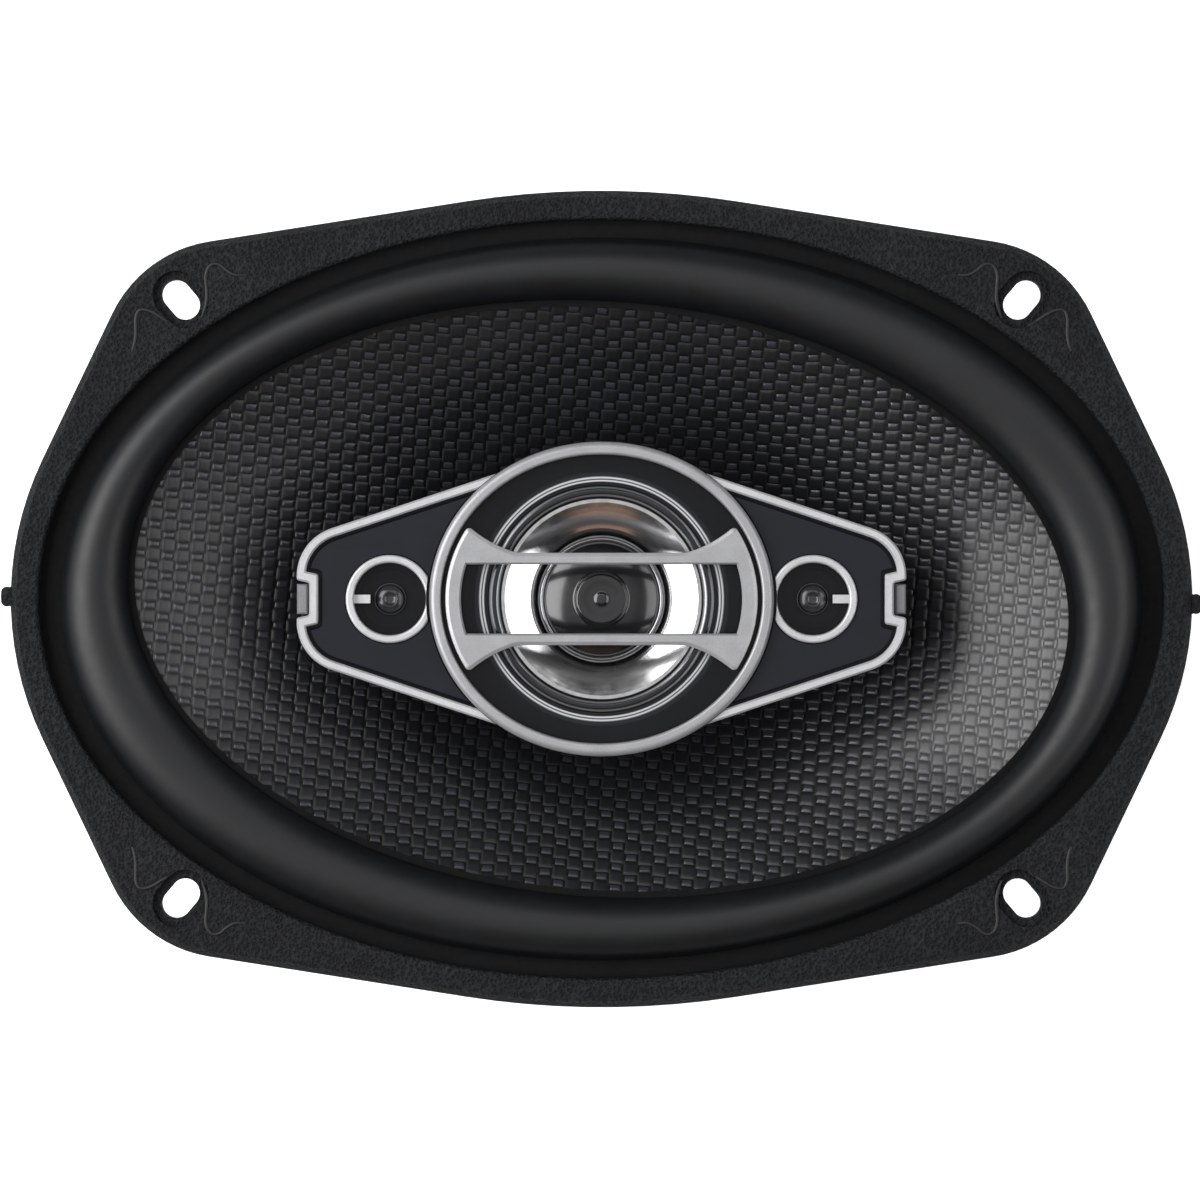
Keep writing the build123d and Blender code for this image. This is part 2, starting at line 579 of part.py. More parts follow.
with BuildPart() as pod_lead:
    with BuildLine() as pod_run:
        FilletPolyline(
            (0, -54.5, BOARD_BOTTOM), (0, -54.5, BOARD_BOTTOM - 3.6),
            (0, LEAD_SIDE_Y, BOARD_BOTTOM - 8.0), (0, LEAD_SIDE_Y, LEAD_BACK_Z),
            (0, 0, LEAD_BACK_Z), (0, 0, POST_TOP + 0.2), radius=2.0)
    with BuildSketch(Plane(origin=pod_run.line @ 0, z_dir=pod_run.line % 0)):
        Circle(LEAD_RADIUS)
    sweep(path=pod_run.line)
pod_lead.part.label = "pod_lead"
export_step(pod_lead.part, "parts/pod_lead.step")

# ---------------------------------------------------------------- pod post and housing
with BuildPart() as pod_post:
    extrude(ring(YOKE_BOTTOM, VENT_RADIUS), amount=POLE_TOP - YOKE_BOTTOM)
    extrude(ring(POLE_TOP, 9.0), amount=2.5)
    extrude(ring(POLE_TOP + 2.5, POST_RADIUS), amount=POD_CUP_BOTTOM - POLE_TOP - 2.5)
    extrude(ring(POD_CUP_BOTTOM, POST_THREAD), amount=POST_TOP - POD_CUP_BOTTOM)
    extrude(ring(YOKE_BOTTOM, POST_BORE), amount=POST_TOP - YOKE_BOTTOM, mode=Mode.SUBTRACT)
pod_post.part.label = "pod_post"
export_step(pod_post.part, "parts/pod_post.step")

with BuildPart() as post_nut:
    with BuildSketch(Plane.XY.offset(POD_FLOOR)):
        RegularPolygon(NUT_FLATS / 2, 6, major_radius=False)
        Circle(POST_THREAD, mode=Mode.SUBTRACT)
    extrude(amount=POST_TOP - POD_FLOOR)
post_nut.part.label = "post_nut"
export_step(post_nut.part, "parts/post_nut.step")

with BuildPart() as pod_housing:
    extrude(oval(WING_BOTTOM, BEZEL, grow=-0.7), amount=DECK_Z - WING_BOTTOM)
    with BuildPart() as wings:
        extrude(wing_outline(WING_BOTTOM, 0.5, -3.0), amount=DECK_Z - WING_BOTTOM)
        mirror(wings.part, about=Plane.YZ)
    extrude(ring(POD_CUP_BOTTOM, POD_CUP_RADIUS), amount=WING_BOTTOM - POD_CUP_BOTTOM)
    fillet([e for e in pod_housing.edges() if abs(e.center().Z - POD_CUP_BOTTOM) < 0.01], 4.0)
    extrude(ring(POD_FLOOR, MID_BORE - 1.4), amount=MID_SEAT_Z - POD_FLOOR, mode=Mode.SUBTRACT)
    extrude(ring(-6.0, MID_BORE + 0.4), amount=MID_SEAT_Z + 6.0, mode=Mode.SUBTRACT)
    extrude(ring(MID_SEAT_Z, MID_RIM), amount=DECK_Z - MID_SEAT_Z, mode=Mode.SUBTRACT)
    extrude(ring(POD_CUP_BOTTOM, POST_THREAD), amount=POD_WALL, mode=Mode.SUBTRACT)
    with BuildPart(mode=Mode.SUBTRACT) as wing_rooms:
        extrude(wing_outline(WING_BOTTOM + 1.6, 0.5 + WING_WALL, 0.0),
                amount=DECK_Z - WING_BOTTOM - 1.6)
        mirror(wing_rooms.part, about=Plane.YZ)
pod_housing.part.label = "pod_housing"
export_step(pod_housing.part, "parts/pod_housing.step")

with BuildPart() as bezel_ring:
    extrude(oval_ring(DECK_Z, BEZEL, BEZEL_OPENING), amount=POD_TOP - DECK_Z)
    top_edges = bezel_ring.edges().group_by(Axis.Z)[-1].sort_by(SortBy.LENGTH)
    fillet(top_edges[-1], 1.2)
    fillet(bezel_ring.edges().group_by(Axis.Z)[-1].sort_by(SortBy.LENGTH)[0], 0.5)
bezel_ring.part.label = "bezel_ring"
export_step(bezel_ring.part, "parts/bezel_ring.step")

with BuildPart() as crossbar_grille:
    with BuildSketch(Plane.XY.offset(BAR_BOTTOM)) as cheek_shape:
        with BuildLine():
            arc = ThreePointArc(CHEEK_START, CHEEK_MIDDLE, CHEEK_TIP)
            Polyline(arc @ 1, (34, 19), (34, -19), (CHEEK_TIP[0], -CHEEK_TIP[1]))
            low = ThreePointArc((CHEEK_START[0], -CHEEK_START[1]),
                                (CHEEK_MIDDLE[0], -CHEEK_MIDDLE[1]), (CHEEK_TIP[0], -CHEEK_TIP[1]))
            Polyline(arc @ 0, (-1, BAR_OUTER_Y), (-1, -BAR_OUTER_Y), low @ 0)
        make_face()
        mirror(about=Plane.YZ)
        Ellipse(*CHEEK, mode=Mode.INTERSECT)
        fillet([v for v in cheek_shape.vertices() if abs(v.Y) > BAR_OUTER_Y + 3], 0.9)
        fillet([v for v in cheek_shape.vertices() if abs(abs(v.X) - CHEEK_START[0]) < 0.01], 6.0)
        with BuildSketch(mode=Mode.SUBTRACT):
            Rectangle(80, 2 * BAR_INNER_Y)
            Ellipse(*BAR_SLOT, mode=Mode.INTERSECT)
    extrude(amount=BAR_TOP - BAR_BOTTOM)
    chamfer(crossbar_grille.faces().sort_by(Axis.Z)[-1].inner_wires()[0].edges(), 0.35)
    for side in (-1, 1):
        bar_run = [e for e in crossbar_grille.faces().sort_by(Axis.Z)[-1].outer_wire().edges()
                   if e.length > 5 and side * e.center().Y > BAR_OUTER_Y - 1]
        chamfer(bar_run, 0.35)
    for side in (-1, 1):
        ends = sorted((side * 28.4, side * 30.6))
        extrude(slab(DECK_Z, ends, (-5, 5)), amount=BAR_BOTTOM - DECK_Z)
crossbar_grille.part.label = "crossbar_grille"
export_step(crossbar_grille.part, "parts/crossbar_grille.step")

with BuildPart() as wing_trim_right:
    with BuildSketch(Plane.XY.offset(DECK_Z)):
        add(wing_outline(0, 0.0, 0.1))
        add(wing_outline(0, TRIM_WIDTH, -8.0), mode=Mode.SUBTRACT)
    extrude(amount=TRIM_TOP - DECK_Z)
    trim_top = wing_trim_right.faces().sort_by(Axis.Z)[-1].edges()
    chamfer([e for e in trim_top if e.length > 6], 0.35)
wing_trim_right.part.label = "wing_trim_right"
export_step(wing_trim_right.part, "parts/wing_trim_right.step")

with BuildPart() as wing_trim_left:
    mirror(wing_trim_right.part, about=Plane.YZ)
wing_trim_left.part.label = "wing_trim_left"
export_step(wing_trim_left.part, "parts/wing_trim_left.step")

with BuildPart() as wing_plate_right:
    extrude(wing_outline(DECK_Z, TRIM_WIDTH + TRIM_GAP, 0.3), amount=PLATE_TOP - DECK_Z)
    plate_top = wing_plate_right.faces().sort_by(Axis.Z)[-1].edges()
    chamfer([e for e in plate_top if e.geom_type != GeomType.ELLIPSE], 0.35)
    extrude(ring(DECK_Z, TWEETER_RING + 0.2, x=TWEETER_X), amount=PLATE_TOP - DECK_Z,
            mode=Mode.SUBTRACT)
wing_plate_right.part.label = "wing_plate_right"
export_step(wing_plate_right.part, "parts/wing_plate_right.step")

with BuildPart() as wing_plate_left:
    mirror(wing_plate_right.part, about=Plane.YZ)
wing_plate_left.part.label = "wing_plate_left"
export_step(wing_plate_left.part, "parts/wing_plate_left.step")

with BuildPart() as end_clip_right:
    clip_y = (0.2 - NOTCH_HALF, NOTCH_HALF - 0.2)
    extrude(slab(3.0, (NOTCH_X - 0.5, WING_END_X), clip_y), amount=DECK_Z - 3.4)
    extrude(slab(DECK_Z - 0.4, (NOTCH_X + 0.4, WING_END_X), clip_y), amount=PLATE_TOP - DECK_Z)
    chamfer(end_clip_right.faces().sort_by(Axis.Z)[-1].edges(), 0.3)
end_clip_right.part.label = "end_clip_right"
export_step(end_clip_right.part, "parts/end_clip_right.step")

with BuildPart() as end_clip_left:
    mirror(end_clip_right.part, about=Plane.YZ)
end_clip_left.part.label = "end_clip_left"
export_step(end_clip_left.part, "parts/end_clip_left.step")

with BuildPart() as crossover_capacitors:
    for side in (-1, 1):
        with BuildSketch(Plane.XZ.offset(-7)):
            with Locations((side * 52.75, WING_BOTTOM + 1.6 + 1.6)):
                Circle(1.6)
        extrude(amount=14)
crossover_capacitors.part.label = "crossover_capacitors"
export_step(crossover_capacitors.part, "parts/crossover_capacitors.step")

# ---------------------------------------------------------------- super tweeters
with BuildPart() as tweeter_body_right:
    extrude(ring(WING_BOTTOM + 1.6, TWEETER_RING, x=TWEETER_X), amount=DECK_Z - WING_BOTTOM - 1.6)
    extrude(ring(TWEETER_FLOOR, 6.1, x=TWEETER_X), amount=DECK_Z, mode=Mode.SUBTRACT)
    extrude(ring(TWEETER_FLOOR + 1.0, TWEETER_HOLE, x=TWEETER_X), amount=DECK_Z, mode=Mode.SUBTRACT)
    extrude(oval(WING_BOTTOM, BEZEL), amount=DECK_Z, mode=Mode.SUBTRACT)
tweeter_body_right.part.label = "tweeter_body_right"
export_step(tweeter_body_right.part, "parts/tweeter_body_right.step")

with BuildPart() as tweeter_body_left:
    mirror(tweeter_body_right.part, about=Plane.YZ)
tweeter_body_left.part.label = "tweeter_body_left"
export_step(tweeter_body_left.part, "parts/tweeter_body_left.step")

with BuildPart() as tweeter_ring_right:
    extrude(ring(DECK_Z, TWEETER_RING, TWEETER_HOLE, x=TWEETER_X), amount=2.6)
    fillet(tweeter_ring_right.edges().group_by(Axis.Z)[-1], 0.5)
    strut_x = (TWEETER_X + STRUT_START, TWEETER_X + TWEETER_HOLE + 0.4)
    extrude(slab(DECK_Z, strut_x, (-STRUT_HALF, STRUT_HALF)), amount=1.1)
    extrude(oval(DECK_Z, BEZEL, grow=TWEETER_GAP), amount=4, mode=Mode.SUBTRACT)
tweeter_ring_right.part.label = "tweeter_ring_right"
export_step(tweeter_ring_right.part, "parts/tweeter_ring_right.step")

with BuildPart() as tweeter_ring_left:
    mirror(tweeter_ring_right.part, about=Plane.YZ)
tweeter_ring_left.part.label = "tweeter_ring_left"
export_step(tweeter_ring_left.part, "parts/tweeter_ring_left.step")

with BuildPart() as tweeter_dome_right:
    with BuildSketch(Plane.XZ):
        with BuildLine():
            foot = TWEETER_FLOOR + 0.2
            rise = 1.6
            bend = (TWEETER_DOME**2 + rise**2) / (2 * rise)
            middle_z = foot + 0.3 + rise - bend
            Polyline((0, foot + 0.3 + rise), (0, foot), (TWEETER_DOME, foot),
                     (TWEETER_DOME, foot + 0.3))
            ThreePointArc((TWEETER_DOME, foot + 0.3), on_sphere(1.6, bend, middle_z),
                          (0, foot + 0.3 + rise))
        make_face()
    revolve(axis=Axis.Z)
tweeter_dome_right.part = tweeter_dome_right.part.moved(Location((TWEETER_X, 0, 0)))
tweeter_dome_right.part.label = "tweeter_dome_right"
export_step(tweeter_dome_right.part, "parts/tweeter_dome_right.step")

with BuildPart() as tweeter_dome_left:
    mirror(tweeter_dome_right.part, about=Plane.YZ)
tweeter_dome_left.part.label = "tweeter_dome_left"
export_step(tweeter_dome_left.part, "parts/tweeter_dome_left.step")

# ---------------------------------------------------------------- midrange driver
with BuildPart() as mid_frame:
    with BuildSketch(Plane.XZ):
        with BuildLine():
            Polyline(
                (MID_RIM, MID_SEAT_Z), (MID_RIM, MID_RIM_TOP), (24.3, MID_RIM_TOP),
                (24.3, MID_RIM_TOP + 0.8), (23.5, MID_RIM_TOP + 0.8), (23.5, MID_RIM_TOP - 1.0),
                (21.6, MID_RIM_TOP - 1.0), (21.6, MID_RIM_TOP - 2.2), (13.4, MID_MOTOR_Z + 1.0),
                (9.6, MID_MOTOR_Z + 1.0), (9.6, MID_MOTOR_Z), (14.0, MID_MOTOR_Z),
                (22.6, MID_SEAT_Z - 0.6), (22.6, MID_SEAT_Z), close=True)
        make_face()
    revolve(axis=Axis.Z)
mid_frame.part.label = "mid_frame"
export_step(mid_frame.part, "parts/mid_frame.step")

with BuildPart() as mid_surround:
    with BuildSketch(Plane.XZ):
        with BuildLine():
            base, middle = MID_RIM_TOP - 1.0, (MID_ROLL_OUTER + MID_ROLL_INNER) / 2
            half = (MID_ROLL_OUTER - MID_ROLL_INNER) / 2
            Polyline((MID_ROLL_OUTER, base + 0.4), (23.4, base + 0.4), (23.4, base),
                     (MID_ROLL_OUTER - 0.35, base))
            ThreePointArc((MID_ROLL_OUTER - 0.35, base), (middle, base + half),
                          (MID_ROLL_INNER + 0.35, base))
            Polyline((MID_ROLL_INNER + 0.35, base), (18.9, base), (18.9, base + 0.4),
                     (MID_ROLL_INNER, base + 0.4))
            ThreePointArc((MID_ROLL_INNER, base + 0.4), (middle, base + 0.35 + half),
                          (MID_ROLL_OUTER, base + 0.4))
        make_face()
    revolve(axis=Axis.Z)
mid_surround.part.label = "mid_surround"
export_step(mid_surround.part, "parts/mid_surround.step")

with BuildPart() as mid_cone:
    with BuildSketch(Plane.XZ):
        with BuildLine():
            Polyline(
                (MID_CONE_RIM, MID_CONE_Z - 0.4), (MID_CONE_RIM, MID_CONE_Z), (19.3, MID_CONE_Z),
                (12.9, MID_CAP_Z + 0.2), (12.7, MID_CAP_Z + 0.9), (11.7, MID_CAP_Z + 0.9),
                (11.5, MID_CAP_Z - 0.4), (MID_NECK, MID_NECK_Z + 0.6), (MID_NECK, MID_NECK_Z),
                (8.4, MID_NECK_Z), (12.2, MID_CAP_Z - 0.6), (18.9, MID_CONE_Z - 0.4), close=True)
        make_face()
    revolve(axis=Axis.Z)
mid_cone.part.label = "mid_cone"
export_step(mid_cone.part, "parts/mid_cone.step")

with BuildPart() as mid_dust_cap:
    with BuildSketch(Plane.XZ):
        with BuildLine():
            foot, rise, skin, step = MID_CAP_Z + 0.9, 3.05, 0.4, 0.25
            bend = (MID_CAP**2 + rise**2) / (2 * rise)
            middle_z = foot + 0.35 + rise - bend
            Polyline(on_sphere(0, bend + step, middle_z), on_sphere(0, bend - skin, middle_z))
            ThreePointArc(on_sphere(0, bend - skin, middle_z), on_sphere(6.4, bend - skin, middle_z),
                          on_sphere(MID_CAP - 0.3, bend - skin, middle_z))
            Polyline(on_sphere(MID_CAP - 0.3, bend - skin, middle_z), (MID_CAP - 0.3, foot),
                     (MID_CAP + 0.9, foot), (MID_CAP + 0.9, foot + 0.35), (MID_CAP, foot + 0.35))
            ThreePointArc((MID_CAP, foot + 0.35), on_sphere(8.4, bend, middle_z),
                          on_sphere(MID_CAP_STEP, bend, middle_z))
            Polyline(on_sphere(MID_CAP_STEP, bend, middle_z),
                     on_sphere(MID_CAP_STEP, bend + step, middle_z))
            ThreePointArc(on_sphere(MID_CAP_STEP, bend + step, middle_z),
                          on_sphere(2.6, bend + step, middle_z), on_sphere(0, bend + step, middle_z))
        make_face()
    revolve(axis=Axis.Z)
mid_dust_cap.part.label = "mid_dust_cap"
export_step(mid_dust_cap.part, "parts/mid_dust_cap.step")

with BuildPart() as mid_former:
    extrude(ring(-6.0, MID_NECK, MID_NECK - 0.2), amount=6.0 + MID_NECK_Z + 1.0)
mid_former.part.label = "mid_former"
export_step(mid_former.part, "parts/mid_former.step")

with BuildPart() as mid_coil:
    extrude(ring(-6.0, MID_NECK + 0.35, MID_NECK), amount=3.2)
mid_coil.part.label = "mid_coil"
export_step(mid_coil.part, "parts/mid_coil.step")

with BuildPart() as mid_plate:
    extrude(ring(MID_MOTOR_Z - 1.5, MID_PLATE_RADIUS, MID_NECK + 0.8), amount=1.5)
mid_plate.part.label = "mid_plate"
export_step(mid_plate.part, "parts/mid_plate.step")

with BuildPart() as mid_magnet:
    extrude(ring(MID_MOTOR_Z - 5.0, MID_MAGNET_RADIUS, 10.0), amount=3.5)
mid_magnet.part.label = "mid_magnet"
export_step(mid_magnet.part, "parts/mid_magnet.step")

with BuildPart() as mid_yoke:
    extrude(ring(MID_MOTOR_Z - 6.4, MID_PLATE_RADIUS), amount=1.4)
    extrude(ring(MID_MOTOR_Z - 5.0, MID_NECK - 0.75), amount=5.0)
mid_yoke.part.label = "mid_yoke"
export_step(mid_yoke.part, "parts/mid_yoke.step")
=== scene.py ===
import json
import math

import bmesh
import bpy
from mathutils import Matrix, Vector, noise


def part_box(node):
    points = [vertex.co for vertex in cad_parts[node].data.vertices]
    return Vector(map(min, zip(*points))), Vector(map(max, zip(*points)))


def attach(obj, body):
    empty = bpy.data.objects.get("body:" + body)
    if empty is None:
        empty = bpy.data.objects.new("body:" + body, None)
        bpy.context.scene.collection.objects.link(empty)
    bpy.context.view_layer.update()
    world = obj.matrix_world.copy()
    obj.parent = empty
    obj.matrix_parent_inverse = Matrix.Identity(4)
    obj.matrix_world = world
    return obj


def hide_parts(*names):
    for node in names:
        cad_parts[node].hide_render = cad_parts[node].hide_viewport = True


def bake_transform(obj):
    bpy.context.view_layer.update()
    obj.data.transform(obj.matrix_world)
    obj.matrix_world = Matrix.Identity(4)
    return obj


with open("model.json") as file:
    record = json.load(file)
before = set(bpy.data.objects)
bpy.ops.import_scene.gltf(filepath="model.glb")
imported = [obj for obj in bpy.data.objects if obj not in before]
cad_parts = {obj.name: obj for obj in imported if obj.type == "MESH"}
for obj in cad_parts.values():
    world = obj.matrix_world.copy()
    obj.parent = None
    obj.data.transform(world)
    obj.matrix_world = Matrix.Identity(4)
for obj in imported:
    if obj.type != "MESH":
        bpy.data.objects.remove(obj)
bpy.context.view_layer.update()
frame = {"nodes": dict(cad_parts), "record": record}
nodes = frame["nodes"]

MM = 0.001

# Levels and reaches read from the frame, in millimetres.
FLOOR_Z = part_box("magnet_boot")[0].z
FLANGE_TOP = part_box("front_gasket")[1].z
GASKET_TOP = FLANGE_TOP / MM
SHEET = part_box("surround")[0].z / MM
ROLL_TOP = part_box("surround")[1].z / MM
NECK_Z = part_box("woofer_cone")[0].z / MM
SPIDER_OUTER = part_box("spider")[1].x / MM
FORMER_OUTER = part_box("coil_former")[1].x / MM
MID_RIM_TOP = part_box("mid_cone")[1].z / MM

# The soft moving skins, worked out as the part works them out, in millimetres.
LIP = 0.8
RIM_Z = SHEET + LIP
LIP_OUTER = (115.2, 78.6)
LIP_INNER = (94.5, 59.1)
ROLL_OUTER = (108.4, 72.4)
ROLL_INNER = (94.9, 59.5)
ROLL_SKIN = 0.8
GASKET_OPENING = (112.6, 75.9)
CONE_RIM = (94.4, 59.0)
CONE_TURN = math.radians(-4.4)
CONE_SKIN = 0.85
CONE_BULGE = 0.86
NECK_RADIUS = 16.6
SPIDER_Z = -34.0
SPIDER_SKIN = 0.5
SPIDER_WAVE = 1.4
SPIDER_FLATS = (3.0, 3.2)
SPIDER_WAVES = 5
TINSEL_X = 9

# The midrange, whose skins are sections of (reach, height) in millimetres.
MID_ROLL = (20.2, 22.8)
MID_ROLL_DROP = 0.8
MID_ROLL_FOOT = 0.4
MID_ROLL_SKIN = 0.35
MID_FLAT = (18.9, 23.4)
MID_CONE_RIM = 20.0
MID_CONE_EDGE = 0.4
MID_BAND = (19.3, 14.2)
MID_BAND_FOOT = 4.75
MID_BAND_CROWN = 0.28
MID_THROAT = ((13.7, 4.3), (13.2, 3.5), (12.9, 2.45), (12.7, 3.1), (11.7, 3.1), (11.5, 1.8),
              (7.65, -0.4), (7.65, -1.0), (8.4, -1.0), (12.4, 1.5))
CAP_RIM = (12.0, 0.42)
CAP_DOME = (11.3, 5.5)
CAP_ROUND = 13.6
CAP_DISC = ((5.35, -0.25), (5.15, 0.12), (4.9, 0.34), (4.5, 0.36), (3.4, 0.14), (2.0, -0.10),
            (1.5, -0.12), (1.2, 0.10), (0.8, 0.22), (0.02, 0.24))
TWEETER_DISH = ((1.3, -0.28), (1.0, -0.55), (0.6, -0.66), (0.02, -0.68))

# The weave of the cone: one column of cloth, and one pick across it.
COLUMN = 2.86
PICK = 2.05

# The stage, in metres.
FLOOR_SIZE = 8.0
FLOOR_DROP = 0.0002
LIGHT_DISTANCE = 1.3
VIEW_DISTANCE = 1.6
VIEW_WIDTH = 0.240
VIEW_CENTRE = (-0.0003, -0.0002)

# The mounting slots, and the moulded lines beside each of them from the slot's centre.
SLOT = (84.2, 59.9)
INNER_LINE = ((-4.2, -3.6), (-5.3, -0.8), (-5.2, 2.2), (-4.9, 5.0), (-5.8, 7.0), (-7.6, 7.3),
              (-9.6, 5.4), (-11.8, 4.6), (-14.6, 5.4))
OUTER_LINE = ((1.2, -5.3), (3.6, -3.8), (5.8, -2.3), (8.2, -1.8), (9.1, -3.4), (8.9, -6.6),
              (9.3, -9.6), (10.3, -11.6))


# ---------------------------------------------------------------- material helpers
class Look:
    """A principled material with short calls for the nodes that feed it."""

    def __init__(self, name, color, rough, metal=0.0, **sockets):
        self.made = bpy.data.materials.new(name)
        self.made.use_nodes = True
        self.tree = self.made.node_tree
        self.shader = self.tree.nodes["Principled BSDF"]
        self.shader.inputs["Base Color"].default_value = (*color, 1)
        self.shader.inputs["Roughness"].default_value = rough
        self.shader.inputs["Metallic"].default_value = metal
        for socket, value in sockets.items():
            self.shader.inputs[socket.replace("_", " ")].default_value = value
        self.color = color
        self.where = self.tree.nodes.new("ShaderNodeTexCoord").outputs["Object"]

    def put(self, kind, settings=None, **inputs):
        """A new node with its settings, its inputs set or linked by name."""
        node = self.tree.nodes.new(kind)
        for key, value in (settings or {}).items():
            setattr(node, key, value)
        for key, value in inputs.items():
            self.feed(node.inputs[key.replace("_", " ")], value)
        return node

    def feed(self, socket, value):
        """Links an output to the socket, or sets the socket's value."""
        if isinstance(value, bpy.types.NodeSocket):
            self.tree.links.new(value, socket)
        else:
            socket.default_value = value

    def noise(self, grain_mm, detail, stretch=(1, 1, 1)):
        """Noise whose grain is about so many millimetres."""
        moved = self.put("ShaderNodeMapping", Vector=self.where, Scale=stretch).outputs[0]
        return self.put("ShaderNodeTexNoise", Vector=moved, Scale=1000 / grain_mm,
                        Detail=detail).outputs[0]

    def cells(self, grain_mm):
        """Distance to the nearest point of a cell pattern of about so many millimetres."""
        return self.put("ShaderNodeTexVoronoi", Vector=self.where,
                        Scale=1000 / grain_mm).outputs["Distance"]

    def axes(self, turn=0.0):
        """X, Y and Z of the point in millimetres, after a turn about Z."""
        turned = self.put("ShaderNodeVectorRotate", {"rotation_type": "Z_AXIS"},
                          Vector=self.where, Angle=-turn).outputs["Vector"]
        larger = self.put("ShaderNodeVectorMath", {"operation": "SCALE"},
                          Vector=turned, Scale=1000.0).outputs["Vector"]
        return self.put("ShaderNodeSeparateXYZ", Vector=larger).outputs

    def math(self, operation, first, second=0.0, third=0.0):
        """One math node."""
        node = self.put("ShaderNodeMath", {"operation": operation})
        for socket, value in zip(node.inputs, (first, second, third)):
            self.feed(socket, value)
        return node.outputs[0]

    def reach(self):
        """Distance from the sound axis in millimetres."""
        along, across, _ = self.axes()
        squares = self.math("MULTIPLY_ADD", along, along, self.math("MULTIPLY", across, across))
        return self.math("SQRT", squares)

    def step(self, value, low, high, start=0.0, end=1.0):
        """A smooth step from start to end while the value goes from low to high."""
        node = self.put("ShaderNodeMapRange", {"interpolation_type": "SMOOTHSTEP"}, Value=value,
                        From_Min=low, From_Max=high, To_Min=start, To_Max=end)
        return node.outputs[0]

    def ramp(self, factor, *stops):
        """Colours along a factor, given as (position, colour)."""
        node = self.put("ShaderNodeValToRGB", Fac=factor)
        edges = node.color_ramp.elements
        while len(edges) < len(stops):
            edges.new(0.5)
        for edge, (position, color) in zip(edges, stops):
            edge.position = position
            edge.color = (*color, 1)
        return node.outputs["Color"]

    def tint(self, factor, low, high):
        """The base colour from low to high by a factor."""
        self.feed(self.shader.inputs["Base Color"],
                  self.ramp(factor, (0.0, low), (1.0, high)))

    def shade(self, factor, dark, light):
        """The base colour varied in brightness by a factor."""
        low = tuple(c * dark for c in self.color)
        high = tuple(c * light for c in self.color)
        color = self.ramp(factor, (0.3, low), (0.7, high))
        self.feed(self.shader.inputs["Base Color"], color)
        return color

    def dim(self, color, factor):
        """The base colour from a colour times a factor."""
        node = self.put("ShaderNodeVectorMath", {"operation": "SCALE"}, Scale=factor)
        self.feed(node.inputs[0], color)
        self.feed(self.shader.inputs["Base Color"], node.outputs[0])

    def roughen(self, factor, low, high):
        """Roughness from a factor."""
        spread = self.put("ShaderNodeMapRange", Value=factor, To_Min=low, To_Max=high)
        self.feed(self.shader.inputs["Roughness"], spread.outputs[0])

    def bump(self, height, strength, depth_mm, below=None):
        """A bump, stacked on another one if below is given."""
        node = self.put("ShaderNodeBump", Height=height, Strength=strength,
                        Distance=depth_mm * MM)
        if below is not None:
            self.feed(node.inputs["Normal"], below)
        self.feed(self.shader.inputs["Normal"], node.outputs[0])
        return node.outputs[0]


# ---------------------------------------------------------------- materials
def flange_grain():
    """Hard moulded foam with a fine grain, its colour painted lighter on the high spots of the
    grain as painted highlight specks and darker in its pits as painted shade.
    """
    look = Look("flange_grain", (0.0034, 0.0038, 0.0045), 0.62, Specular_IOR_Level=0.18)
    pebbles = look.cells(0.62)
    fine = look.noise(0.26, 3)
    tone = look.shade(look.noise(17, 3), 0.8, 1.25)
    high = look.math("MULTIPLY_ADD", pebbles, 0.9, look.math("MULTIPLY", fine, 0.5))
    # Painted highlight and shade: the colour follows the height of the grain, brightest on its
    # high spots.
    look.dim(tone, look.step(high, 0.42, 1.05, 0.72, 3.4))
    look.roughen(fine, 0.5, 0.72)
    look.bump(fine, 0.75, 0.24, below=look.bump(pebbles, 0.75, 0.34))
    return look.made


def roll_rubber():
    """Satin butyl rubber, with painted shade darkening it toward the foot of the roll, which is
    also more matt.
    """
    look = Look("roll_rubber", (0.0034, 0.0041, 0.0050), 0.42, Specular_IOR_Level=0.42)
    tone = look.shade(look.noise(11, 3), 0.85, 1.25)
    height = look.axes()[2]
    # Painted shade: the colour darkens toward the foot of the roll, where the roll meets its lip
    # in shadow.
    look.dim(tone, look.step(height, RIM_Z, RIM_Z + 2.5, 0.3, 1.0))
    at_foot = look.step(height, RIM_Z - 0.2, RIM_Z + 1.4, 0.9, 0.0)
    look.roughen(look.math("ADD", look.noise(2.4, 3), at_foot), 0.40, 0.54)
    look.bump(look.noise(0.45, 2), 0.10, 0.05, below=look.bump(look.noise(5, 1), 0.12, 0.12))
    return look.made


